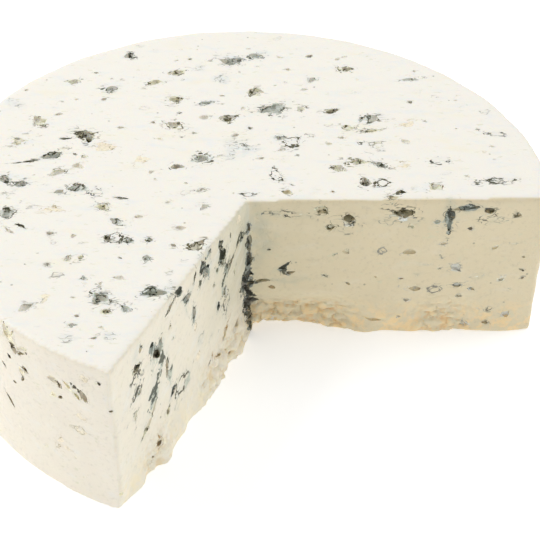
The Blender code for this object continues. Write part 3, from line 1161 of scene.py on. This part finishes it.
@dataclass
class CheeseWheel:
    """The wheel of cheese, with its cuts, relief, openings and marks.

    Attributes:
        form: Its plan and its walls.
        marks: Its openings and stains.
        edge_round: The radius of its edges.
        edge_reach: How far from an edge its mesh is smoothed.
        edge_smooths: How many times it is.
        cut_reach: How far from a cut its skin's mesh lies.
        grid: The spacing of its mesh.
        foot_fade: How far into the wheel a move of its foot fades out.
        skin_fade: How far a move of its skin does.
        flake_span: The size of the flakes in the cuts' feet.
        flake_depth: How far they stand in and out.
        crease_depth: The depth of the crevices between the feet's crumbs.
        pore_span: The size of the walls' fine pores.
        pore_depth: Their depth.
    """

    form: WheelForm
    marks: MarkMap
    edge_round: float = 1.2 * MM
    edge_reach: float = 2.4 * MM
    edge_smooths: int = 5
    cut_reach: float = 1.5 * MM
    grid: float = 1.18 * MM
    foot_fade: float = 12 * MM
    skin_fade: float = 2.5 * MM
    flake_span: float = 4.2 * MM
    flake_depth: float = 1.1 * MM
    crease_depth: float = 1.0 * MM
    pore_span: float = 5 * MM
    pore_depth: float = 0.22 * MM

    def build(self) -> bpy.types.Object:
        """Models the wheel.

        Returns:
            The finished piece, undressed.
        """
        wheel = self._turned()
        self._notch(wheel)
        finish_modifier(
            wheel, "BEVEL", width=self.edge_round, segments=3, limit_method="ANGLE",
            angle_limit=math.radians(40),
        )
        self._grid_over(wheel)
        self._relief(wheel)
        log.info("body has %d faces", len(wheel.data.polygons))
        self._open(wheel)
        self._true_up(wheel)
        return wheel

    def _turned(self) -> bpy.types.Object:
        """Models the whole wheel as it comes from its mould."""
        form = self.form
        deselect()
        bpy.ops.mesh.primitive_cylinder_add(
            vertices=480, radius=form.radius, depth=form.height, location=(0, 0, form.height / 2)
        )
        wheel = newest("cheese_paste")
        settle(wheel)
        return wheel

    def _notch(self, wheel: bpy.types.Object) -> None:
        """Cuts the missing wedge out of the wheel."""
        form = self.form
        reach = 4 * form.radius
        middle = form.apex + form.far_out * reach / 2
        deselect()
        bpy.ops.mesh.primitive_cube_add(size=reach, location=middle, rotation=(0, 0, form.far_turn))
        wedge = newest("missing_wedge")
        settle(wedge)
        with picked(wedge, lambda face: True):
            bpy.ops.mesh.bisect(
                plane_co=form.apex, plane_no=form.near_out, use_fill=True, clear_inner=True
            )
        finish_modifier(wheel, "BOOLEAN", operation="DIFFERENCE", object=wedge, solver="EXACT")
        bpy.data.objects.remove(wedge)

    def _grid_over(self, wheel: bpy.types.Object) -> None:
        """Divides the walls and the top evenly, and the cuts' feet twice as finely."""
        form = self.form
        wheel.data.remesh_voxel_size = self.grid
        activate(wheel)
        bpy.ops.object.voxel_remesh()
        low = form.crumble_height * 1.1

        def at_foot(face: bpy.types.MeshPolygon) -> bool:
            """Tells whether a face lies in the foot of a cut."""
            cuts = form.off_cuts(Vector(face.center))
            on_cut = any(abs(gap) < self.cut_reach and reach > 0 for gap, reach in cuts)
            return on_cut and 1 * MM < face.center.z < low

        def at_edge(face: bpy.types.MeshPolygon) -> bool:
            """Tells whether a face lies in an edge of the top, or where a cut meets the rim."""
            cuts = form.off_cuts(Vector(face.center))
            close = sum(abs(gap) < self.edge_reach and reach > 0 for gap, reach in cuts)
            rim = form.radius - face.center.to_2d().length < self.edge_reach
            top = form.height - face.center.z < self.edge_reach
            return close + rim + top > 1

        with picked(wheel, at_edge):
            bpy.ops.mesh.vertices_smooth(factor=0.5, repeat=self.edge_smooths)
        with picked(wheel, at_foot):
            bpy.ops.mesh.subdivide(number_cuts=1)
        with picked(wheel, lambda face: face.center.z < 0.1 * MM and face.normal.z < -0.99):
            bpy.ops.mesh.delete(type="FACE")
            bpy.ops.mesh.select_all(action="DESELECT")
            bpy.ops.mesh.select_non_manifold()
            bpy.ops.mesh.edge_face_add()

    def _relief(self, wheel: bpy.types.Object) -> None:
        """Moves the walls in and out: an uneven round, dimples, and a crumbled foot."""
        form = self.form
        for vert in wheel.data.vertices:
            place = vert.co.copy()
            vert.co = place + self._wall_move(place)
            vert.co.z = min(form.height, max(0, vert.co.z))

    def _wall_move(self, place: Vector) -> Vector:
        """Works out how far a point of the wheel is moved.

        Args:
            place: The point on the true wheel.

        Returns:
            The move.
        """
        form = self.form
        level = Vector((place.x, place.y, 0))
        move = Vector()
        inward = form.radius - level.length
        dimple = noise.noise(place / form.dimple_span)
        pores = noise.noise(place / self.pore_span) * self.pore_depth
        if inward < self.foot_fade:
            out = level.normalized()
            uneven = noise.noise(out * form.round_waves) * form.round_uneven
            skin = dimple * form.dimple_depth + pores
            share = fade(inward, 0, self.foot_fade)
            move += out * (uneven * share + skin * fade(inward, 0, self.skin_fade))
        outs, feet = (form.near_out, form.far_out), (form.near_foot, form.far_foot)
        for (gap, reach), out, foot in zip(form.off_cuts(place), outs, feet):
            if abs(gap) > self.foot_fade or reach < -self.foot_fade:
                continue
            foot_share = fade(abs(gap), 0, self.foot_fade) * fade(-reach, 0, self.foot_fade)
            skin_share = fade(abs(gap), 0, self.skin_fade) * fade(-reach, 0, self.skin_fade)
            broad = foot(reach, place.z) + form.crumble(place)
            fine = dimple * form.cut_depth + self._flakes(place, reach)
            move -= out * (broad * foot_share + fine * skin_share)
        return move

    def _flakes(self, place: Vector, reach: float) -> float:
        """Gives how far the flakes and crumbs of the foot sink in at a point."""
        flake = curd(place, self.flake_span) - 0.45
        crumby = self.form.crumby(reach, place.z)
        crease = self.form.crease(reach, place.z) * self.crease_depth
        return crumby * flake * self.flake_depth + crease

    def _open(self, wheel: bpy.types.Object) -> None:
        """Cuts every opening."""
        cutters = OpeningCutters(self.marks).build()
        finish_modifier(
            wheel, "BOOLEAN", operation="DIFFERENCE", operand_type="COLLECTION",
            collection=cutters, solver="MANIFOLD",
        )
        for cutter in list(cutters.objects):
            bpy.data.objects.remove(cutter)
        bpy.data.collections.remove(cutters)

    def _true_up(self, wheel: bpy.types.Object) -> None:
        """Splits the faces of many sides, and shades all but the crisp edges smooth."""
        solid = bmesh.new()
        solid.from_mesh(wheel.data)
        bmesh.ops.triangulate(solid, faces=[f for f in solid.faces if len(f.verts) > 4])
        solid.to_mesh(wheel.data)
        solid.free()
        activate(wheel)
        bpy.ops.object.shade_smooth_by_angle(angle=math.radians(38))


@dataclass
class MarkPainter:
    """Leaves each mark's own coordinates and colours on the wheel's mesh.

    Attributes:
        marks: Every mark.
        form: The wheel's form.
        rows: How many points are worked on at once.
        varied: The least and the greatest factor on a mark's strengths.
        halo_reach: How far the bluish tinge reaches, in a mark's own sizes.
        seam_shade_reach: How far from the seam the painted shade reaches.
        wall_reach: How far into the wheel a wall's colour goes.
        paste: The paste's colour, which weak marks take on.
        warm_mould: The colour that some marks' mould leans to.
        seed: What the draws start from.
    """

    marks: MarkMap
    form: WheelForm
    rows: int = 8000
    varied: tuple[float, float] = (0.65, 1.2)
    halo_reach: float = 2.1
    seam_shade_reach: float = 42 * MM
    wall_reach: float = 7 * MM
    paste: Colour = srgb(245, 240, 228)
    warm_mould: Colour = srgb(124, 114, 72)
    seed: int = 5

    def paint(self, wheel: bpy.types.Object) -> None:
        """Writes the attributes that the finish reads.

        Args:
            wheel: The wheel, with its openings cut.
        """
        points = points_of(wheel.data)
        place, reach, nearest, halo = self._nearest(points)
        looks = [LOOKS[p.mark.kind] for p in self.marks.placed]
        fills = np.array([(*look.fill, look.coverage) for look in looks])
        darks = np.array([(*look.dark, look.darkness) for look in looks])
        soft = np.array([look.softness for look in looks])
        vary = np.random.default_rng(self.seed).uniform(*self.varied, (len(looks), 3))
        fills[:, 3] *= vary[:, 0]
        darks[:, 3] *= vary[:, 1]
        warm = 0.5 * vary[:, 2:] - 0.3
        darks[:, :3] += warm * (np.array(self.warm_mould) - darks[:, :3])
        strength = self._column("strength")[:, None]
        fills[:, :3] = self.paste + strength * (fills[:, :3] - self.paste)
        darks[:, :3] = self.paste + strength * (darks[:, :3] - self.paste)
        # How far up its face a point lies in its mark; the finish puts painted shade on the upper
        # side.
        lean = ((points - self._column("place")[nearest]) * self._column("up")[nearest]).sum(axis=1)
        edges = np.array([look.outline for look in looks]) * vary[:, 2]
        traits = np.column_stack([edges[nearest], halo, np.clip(lean, -1, 1)])
        self._write(wheel, "mark_place", "FLOAT_VECTOR", "vector", place)
        self._write(wheel, "mark_reach", "FLOAT", "value", reach)
        self._write(wheel, "mark_fill", "FLOAT_COLOR", "color", fills[nearest])
        self._write(wheel, "mark_dark", "FLOAT_COLOR", "color", darks[nearest])
        self._write(wheel, "mark_trait", "FLOAT_VECTOR", "vector", traits)
        self._write(wheel, "mark_soft", "FLOAT", "value", soft[nearest])
        # The crevices' depth, where the finish paints brown and painted shade.
        self._write(wheel, "crease", "FLOAT", "value", self._creases(points))
        # Painted shade by the seam: one at the apex, none past seam_shade_reach.
        away = np.hypot(*(points - np.array(self.form.apex))[:, :2].T)
        self._write(wheel, "seam_shade", "FLOAT", "value", np.clip(1 - away / self.seam_shade_reach, 0, 1))
        self._write(wheel, "wall", "FLOAT_VECTOR", "vector", self._walls(points))

    def _column(self, name: str) -> np.ndarray:
        """Lists one value of every mark, or the middle of each where the value is its place."""
        values = [getattr(placed, name) for placed in self.marks.placed]
        return np.array([v.translation if isinstance(v, Matrix) else v for v in values])

    def _nearest(
        self, points: np.ndarray
    ) -> tuple[np.ndarray, np.ndarray, np.ndarray, np.ndarray]:
        """Finds the mark that each point lies nearest to, measured in the mark's own sizes.

        Args:
            points: The mesh's points.

        Returns:
            Each point's place in its mark's unit ball, its distance there, the mark's number, and
            the strength of the bluish tinge from any mark about it.
        """
        halos = np.array([LOOKS[p.mark.kind].halo * p.strength for p in self.marks.placed])
        halos = halos.astype(np.float32)[:, None]
        spaces = np.array([p.space.inverted() for p in self.marks.placed], dtype=np.float32)
        turn, shift = spaces[:, :3, :3].reshape(-1, 3), spaces[:, :3, 3].reshape(-1, 1)
        points = points.astype(np.float32)
        bend = self._column("bend").astype(np.float32)[:, None]
        taper = self._column("taper").astype(np.float32)[:, None]
        place = np.empty((len(points), 3))
        reach = np.empty(len(points))
        nearest = np.empty(len(points), dtype=int)
        halo = np.empty(len(points))
        for start in range(0, len(points), self.rows):
            rows = slice(start, start + self.rows)
            local = (turn @ points[rows].T + shift).reshape(len(spaces), 3, -1)
            across = np.clip(local[:, 0], -1.3, 1.3)
            local[:, 1] /= 1 - taper * across * TAPER_SHARE
            local[:, 1] += bend * (across**2 - BEND_MIDDLE)
            corners = 2 * CORNERS * np.abs(local[:, 0] * local[:, 1])
            distance = np.sqrt((local**2).sum(axis=1) + corners)
            best = distance.argmin(axis=0)
            index = np.arange(len(best))
            place[rows] = local[best, :, index]
            reach[rows] = distance[best, index]
            nearest[rows] = best
            halo[rows] = (np.clip(self.halo_reach - distance, 0, 1) * halos).max(axis=0)
        return place, reach, nearest, halo

    def _creases(self, points: np.ndarray) -> np.ndarray:
        """Finds how deep each point lies in the crevices between the foot's crumbs."""
        form = self.form
        creases = np.zeros(len(points))
        low = points[:, 2] < form.crumble_height * 1.2
        away = points - np.array(form.apex)
        for out, along in form.cuts:
            gap, reach = away @ np.array(out), away @ np.array(along)
            for i in np.nonzero(low & (np.abs(gap) < self.wall_reach) & (reach > -1 * MM))[0]:
                creases[i] = form.crease(reach[i], points[i, 2])
        return creases

    def _walls(self, points: np.ndarray) -> np.ndarray:
        """Works out how much each point belongs to the rim, the near cut and the far cut."""
        form = self.form
        inward = form.radius - np.hypot(points[:, 0], points[:, 1])
        away = points - np.array(form.apex)
        low = points[:, 2] < form.height - 0.3 * MM
        gaps = [away @ np.array(out) for out, _ in form.cuts]
        cuts = [
            (gap > -self.wall_reach) & (away @ np.array(along) > 0) & low
            for gap, (_, along) in zip(gaps, form.cuts)
        ]
        rim = (inward < self.wall_reach) & low
        for gap, cut in zip(gaps, cuts):
            rim &= ~((gap > -1 * MM) & cut)
        near = cuts[0] & ~rim
        far = cuts[1] & ~rim & ~near
        return np.stack([rim, near, far], axis=1).astype(float)

    @staticmethod
    def _write(
        wheel: bpy.types.Object, name: str, kind: str, key: str, values: np.ndarray
    ) -> None:
        """Stores one value for each point of the mesh.

        Args:
            wheel: The piece.
            name: The attribute's name.
            kind: The attribute's type.
            key: What the type calls its value.
            values: One row for each point.
        """
        made = wheel.data.attributes.new(name, kind, "POINT")
        made.data.foreach_set(key, np.ascontiguousarray(values, dtype=np.float32).ravel())


# ---------------------------------------------------------------- finishes


@dataclass(frozen=True)
class PasteFinish:
    """The cheese's paste, its blue mould, the stains in both, and painted shade in its notch and
    hollows.

    Attributes:
        form: The wheel's form.
        top: The paste's colour on the cut top.
        rim: Its colour on the rim.
        near: Its colour on the near cut.
        far: Its colour on the far cut, darker and warmer than the near cut's: painted shade of the
            notch.
        seam_shade: Its colour on the cuts by the seam where they meet, darker: painted shade in the
            notch's corner.
        foot: Its colour in the crumbled foot of the near cut.
        far_foot: Its colour in the far cut's.
        crease: Its colour in the crevices there: the paste's brown, darkened by painted shade.
        near_crease: Its colour in the near cut's, likewise brown with painted shade.
        blue_tinge: What the paste's colour is multiplied by about the mould.
        deep: The painted shade deep in the darkest openings, on their upper walls.
        faint_blue: The colour of pale smears.
        faint_gold: The colour of warm smears.
        speck: The colour of tiny specks.
        fleck: The colour of faint flecks.
        wobble_span: The size of the waves in the marks' edges.
        curd_span: The size of the patches inside them.
        core_span: The size of their darkest spots.
        vein_span: The size of the loops that the thin veins make.
        grain_span: The size of the paste's grain.
        squeeze: How much longer the smears are than they are wide, as a share.
        streak_fall: How far the near cut's streaks fall as they run out from the apex.
        roughness: How rough the paste is.
        glow: How much of the light passes through the paste near its skin.
        glow_tint: How far that light goes in red, green and blue, as shares of its reach.
        glow_reach: How far it goes.
    """

    form: WheelForm
    top: Colour = srgb(247, 243, 233)
    rim: Colour = srgb(241, 233, 216)
    near: Colour = srgb(238, 231, 212)
    # Painted shade: the far cut is darker and warmer, as the notch shades it.
    far: Colour = srgb(229, 216, 183)
    # Painted shade by the seam, in the corner of the notch.
    seam_shade: Colour = srgb(204, 200, 174)
    foot: Colour = srgb(248, 234, 196)
    far_foot: Colour = srgb(250, 222, 170)
    # The crevices' brown, with painted shade in them.
    crease: Colour = srgb(212, 168, 112)
    near_crease: Colour = srgb(226, 200, 152)
    blue_tinge: Colour = (0.72, 0.82, 0.91)
    # Painted shade deep in the openings.
    deep: Colour = srgb(52, 48, 34)
    faint_blue: Colour = srgb(236, 239, 237)
    faint_gold: Colour = srgb(246, 240, 220)
    speck: Colour = srgb(120, 120, 98)
    fleck: Colour = srgb(218, 216, 186)
    wobble_span: float = 2.2 * MM
    curd_span: float = 1.7 * MM
    core_span: float = 2.0 * MM
    vein_span: float = 1.9 * MM
    grain_span: float = 0.8 * MM
    squeeze: float = 0.55
    streak_fall: float = math.radians(35)
    roughness: float = 0.5
    glow: float = 0.3
    glow_tint: Colour = (1.0, 0.8, 0.55)
    glow_reach: float = 1.6 * MM

    def material(self) -> bpy.types.Material:
        """Builds the paste's material."""
        graph = Graph("danish_blue_paste")
        coordinates = graph.node("ShaderNodeTexCoord")
        place = graph.out(coordinates, "Object")
        rim, near, far = graph.parts(graph.attribute("wall", "Vector"))
        paste = self._paste(graph, place, rim, near, far)
        masks = self._masks(graph, place, near)
        shades = graph.cloud(place, self.grain_span)
        fill = graph.dimmed(graph.attribute("mark_fill", "Color"), shades * 0.7 + 0.65)
        dark = graph.dimmed(graph.attribute("mark_dark", "Color"), shades * 1.1 + 0.5)
        colour = graph.mixed(masks["halo"], paste, graph.scaled(paste, self.blue_tinge))
        colour = graph.mixed(masks["vein"], colour, dark)
        colour = graph.mixed(masks["fill"], colour, fill)
        colour = graph.mixed(masks["dark"], colour, dark)
        colour = graph.mixed(masks["deep"], colour, self.deep)
        graph.put(graph.shader.inputs["Base Color"], colour)
        graph.put(graph.shader.inputs["Roughness"], self.roughness)
        graph.put(graph.shader.inputs["Subsurface Weight"], self.glow)
        graph.put(graph.shader.inputs["Subsurface Radius"], self.glow_tint)
        graph.put(graph.shader.inputs["Subsurface Scale"], self.glow_reach)
        self._bump(graph, place, masks, rim, near, far)
        return graph.material

    def _streaky(
        self, graph: Graph, place: Signal, near: Signal, span: float, detail: float = 2
    ) -> Signal:
        """Adds a noise drawn out level, or along the streaks on the near cut.

        Args:
            graph: The material's graph.
            place: The coordinates on the piece.
            near: How much a point belongs to the near cut.
            span: The size of its lumps across their length, in metres.
            detail: How many finer layers it has.

        Returns:
            A number about 0.5.
        """
        down = Vector((0, 0, -math.sin(self.streak_fall)))
        streak = self.form.near_along * math.cos(self.streak_fall) + down
        level = graph.cloud(graph.squeezed(place, (1, 0, 0), self.squeeze), span, detail, 0.6)
        lean = graph.cloud(graph.squeezed(place, tuple(streak), self.squeeze), span, detail, 0.6)
        return level + near * (lean - level)

    def _paste(
        self, graph: Graph, place: Signal, rim: Signal, near: Signal, far: Signal
    ) -> Signal:
        """Colours the bare paste.

        Args:
            graph: The material's graph.
            place: The coordinates on the piece.
            rim: How much a point belongs to the rim.
            near: How much it belongs to the near cut.
            far: How much it belongs to the far cut.

        Returns:
            The paste's colour.
        """
        colour = graph.mixed(rim, self.top, self.rim)
        colour = graph.mixed(near, colour, self.near)
        # The far cut's colour carries painted shade from the notch.
        colour = graph.mixed(far, colour, self.far)
        # Painted shade by the seam: the cuts darken towards the apex, most on the near cut above
        # its foot.
        seam = graph.attribute("seam_shade", "Fac")
        _, _, height = graph.parts(place)
        share = near * height.rise(12 * MM, 30 * MM) * 0.7 + far * 0.24
        colour = graph.mixed(seam * share, colour, self.seam_shade)
        low = height.rise(17 * MM, 4 * MM) * (near * 0.6 + far)
        crumbs = graph.cloud(place, 3.4 * MM, 3, 0.6)
        foot = graph.mixed(far, self.foot, self.far_foot)
        colour = graph.mixed(low * crumbs.rise(0.42, 0.62) * 0.85, colour, foot)
        # The crevices between the crumbs: brown, with painted shade in them.
        crease = graph.attribute("crease", "Fac").rise(0.25, 1.0)
        gap = graph.mixed(far, self.near_crease, self.crease)
        colour = graph.mixed(crease * crumbs.rise(0.4, 0.62) * 0.6, colour, gap)
        mottle = graph.cloud(place, 1.6 * MM, 3, 0.65)
        colour = graph.dimmed(colour, 1 - mottle.rise(0.5, 0.8) * (rim + near + far) * 0.12)
        smear = self._streaky(graph, place, near, 4 * MM, 3)
        other = self._streaky(graph, place, near, 7 * MM, 3)
        flat = 1 - far * 0.8 - rim * 0.6 - near * 0.5
        colour = graph.mixed(smear.rise(0.52, 0.74) * flat * 0.6, colour, self.faint_blue)
        colour = graph.mixed(other.rise(0.52, 0.74) * flat * 0.6, colour, self.faint_gold)
        dot, draw = graph.cells(place, 6 * MM)
        specks = dot.rise(0.09, 0.04) * draw.rise(0.6, 0.65) * (1 - rim * 0.7)
        colour = graph.mixed(specks * 0.5, colour, self.speck)
        tints = self._streaky(graph, place, near, 1.5 * MM, 3)
        flecks = tints.rise(0.6, 0.68) * graph.cloud(place, 7 * MM, 1).rise(0.42, 0.6)
        return graph.mixed(flecks * 0.5, colour, self.fleck)

    def _masks(self, graph: Graph, place: Signal, near: Signal) -> dict[str, Signal]:
        """Works out where the marks' colours lie.

        Args:
            graph: The material's graph.
            place: The coordinates on the piece.
            near: How much a point belongs to the near cut.

        Returns:
            The share of each: the inside, the fill, the dark mould, the thin veins and the bluish
            tinge about the mark, and the shade deep in an opening.
        """
        spot = graph.attribute("mark_place", "Vector")
        coverage = graph.attribute("mark_fill", "Alpha")
        darkness = graph.attribute("mark_dark", "Alpha")
        edge, tinge, lean = graph.parts(graph.attribute("mark_trait", "Vector"))
        across, up, under = graph.parts(spot)
        corners = abs(across * up) * (2 * CORNERS)
        square = across * across + up * up + under * under + corners
        reach = graph.math("SQRT", square).most(graph.attribute("mark_reach", "Fac") * 0.8)
        wobble = self._streaky(graph, place, near, self.wobble_span, 3) - 0.5
        _, wide = graph.cells(place, self.curd_span)
        _, fine = graph.cells(place, self.grain_span)
        soft = graph.attribute("mark_soft", "Fac")
        shape = reach + wobble * 1.3 + (wide - 0.4) * 0.4 + (fine - 0.5) * 0.1
        inside = shape.rise(1.0, 0.9)
        thin = reach * soft
        patches = self._streaky(graph, place, near, self.curd_span) + (fine - 0.5) * 0.12
        fill = inside * (coverage * 0.6 + 0.2 - patches - thin).rise(0.0, 0.12)
        cores = self._streaky(graph, place, near, self.core_span, 3) + (wide - 0.5) * 0.2
        # The dark mould gathers on a mark's upper side: mould, with painted shade on the opening's
        # upper wall.
        cores = cores + (fine - 0.5) * 0.1 - lean * 0.16
        core = inside * (darkness * 0.9 + 0.12 - cores - thin).rise(0.0, 0.05)
        gate = graph.cloud(place, 2.9 * MM, 1)
        outline = ((gate + edge * 0.2 - 0.6) * 0.5 - abs(shape - 0.97)).rise(0.0, 0.04)
        lines = 0.035 - abs(self._streaky(graph, place, near, self.vein_span, 1) - 0.5)
        lines = lines.rise(0.0, 0.02) * gate.rise(0.42, 0.54) * edge.least(1.0)
        about = shape.rise(2.1, 1.2) * shape.rise(0.85, 1.0)
        halo = tinge * graph.cloud(place, 4 * MM, 1).rise(0.25, 0.7)
        # Painted shade deep in the darker openings, on their upper side.
        deep = under.rise(-0.3, -0.8) * reach.rise(1.15, 0.9) * darkness.rise(0.26, 0.4)
        deep = deep * lean.rise(-0.7, 0.2)
        return {
            "inside": inside,
            "fill": fill * 0.9,
            "dark": core.most(outline).most(inside * lines * 0.8),
            "vein": about * lines * 0.7,
            "halo": halo * 0.45,
            "deep": deep,
        }

    def _bump(
        self,
        graph: Graph,
        place: Signal,
        masks: dict[str, Signal],
        rim: Signal,
        near: Signal,
        far: Signal,
    ) -> None:
        """Gives the skin its fine grain.

        Args:
            graph: The material's graph.
            place: The coordinates on the piece.
            masks: Where the marks' colours lie.
            rim: How much a point belongs to the rim.
            near: How much it belongs to the near cut.
            far: How much it belongs to the far cut.
        """
        grain = graph.cloud(place, self.grain_span, 3, 0.6)
        streak = self._streaky(graph, place, near, 1.3 * MM)
        height = grain * (0.35 + rim * 0.5 + far * 0.3) + streak * (0.3 + near * 0.7)
        height = height - masks["inside"] * 0.7 - masks["dark"] * 0.5
        values = {"Height": height, "Strength": 0.5, "Distance": 0.35 * MM}
        bump = graph.node("ShaderNodeBump", None, values)
        graph.put(graph.shader.inputs["Normal"], graph.out(bump, "Normal"))


@dataclass(frozen=True)
class FloorFinish:
    """The pale, matt floor, lit a little from below.

    Attributes:
        colour: Its colour.
        glow: How strongly it is lit from below.
        roughness: How rough it is.
    """

    colour: Colour = (0.94, 0.95, 0.97)
    glow: float = 0.33
    roughness: float = 0.9

    def material(self) -> bpy.types.Material:
        """Builds the floor's material."""
        graph = Graph("pale_floor")
        graph.put(graph.shader.inputs["Base Color"], self.colour)
        graph.put(graph.shader.inputs["Roughness"], self.roughness)
        graph.put(graph.shader.inputs["Specular IOR Level"], 0.1)
        graph.put(graph.shader.inputs["Emission Color"], (1, 1, 1))
        graph.put(graph.shader.inputs["Emission Strength"], self.glow)
        return graph.material


# ---------------------------------------------------------------- the studio


@dataclass
class Studio:
    """The floor, the soft light and the camera.

    Attributes:
        sky: The strength of the even light from all round.
        lamps: The large soft lights: name, place, size in metres and power in watts.
        floor_size: The floor's size in metres.
        target: The point that the camera looks at.
        distance: The camera's distance from it.
        elevation: How far the camera looks down.
        roll: How far the camera leans.
        lens: The camera's focal length, in millimetres on its sensor.
        sensor: The sensor's width, in millimetres.
    """

    sky: float = 0.56
    lamps: tuple[tuple[str, Vector, float, float], ...] = (
        ("left_softbox", Vector((-1.1, 0.35, 1.1)), 1.0, 13),
        ("right_softbox", Vector((1.1, 0.25, 0.8)), 0.8, 5),
    )
    floor_size: float = 12
    target: Vector = field(default_factory=lambda: Vector((8.5 * MM, 22.4 * MM, 0)))
    distance: float = 488.5 * MM
    elevation: float = math.radians(38.96)
    roll: float = math.radians(0.66)
    lens: float = 88.17
    sensor: float = 36

    def build(self) -> None:
        """Sets the studio up."""
        self._floor()
        self._light()
        self._camera()

    def _floor(self) -> None:
        """Lays the floor."""
        deselect()
        bpy.ops.mesh.primitive_plane_add(size=self.floor_size)
        floor = newest("studio_floor")
        floor.data.materials.append(FloorFinish().material())

    def _light(self) -> None:
        """Sets the even light and the large soft ones."""
        world = bpy.data.worlds.new("studio")
        world.use_nodes = True
        world.node_tree.nodes["Background"].inputs["Color"].default_value = (1, 1, 1, 1)
        world.node_tree.nodes["Background"].inputs["Strength"].default_value = self.sky
        bpy.context.scene.world = world
        for name, place, size, power in self.lamps:
            bpy.ops.object.light_add(type="AREA", location=place)
            lamp = bpy.context.object
            lamp.name = name
            lamp.data.energy = power
            lamp.data.size = size
            lamp.rotation_euler = (-place).to_track_quat("-Z", "Y").to_euler()
        bpy.context.scene.view_settings.view_transform = "Standard"

    def _camera(self) -> None:
        """Places the camera."""
        slope = self.elevation
        forward = Vector((0, math.cos(slope), -math.sin(slope)))
        right = Vector((1, 0, 0))
        up = right.cross(forward)
        lean = Matrix.Rotation(-self.roll, 3, forward)
        axes = Matrix((lean @ right, lean @ up, -forward)).transposed().to_4x4()
        axes.translation = self.target - forward * self.distance
        bpy.ops.object.camera_add()
        camera = bpy.context.object
        camera.name = "photo_camera"
        camera.matrix_world = axes
        camera.data.lens = self.lens
        camera.data.sensor_width = self.sensor
        bpy.context.scene.camera = camera


# ---------------------------------------------------------------- the whole


def main() -> None:
    """Builds the wheel and the studio."""
    logging.basicConfig(level=logging.INFO, format="%(message)s")
    noise.seed_set(NOISE_SEED)  # Vector noise starts from the clock otherwise.
    low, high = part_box(NODE)
    form = WheelForm(height=high[2] - low[2])
    marks = MarkMap(form)
    marks.lay_out()
    log.info("laid out %d marks", len(marks.placed))
    wheel = CheeseWheel(form, marks).build()
    MarkPainter(marks, form).paint(wheel)
    wheel.data.materials.clear()
    wheel.data.materials.append(PasteFinish(form).material())
    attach(wheel, "root")
    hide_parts(NODE)
    log.info("built %s with %d faces", wheel.name, len(wheel.data.polygons))
    Studio().build()
    log.info("built the studio")


if __name__ == "__main__":
    main()
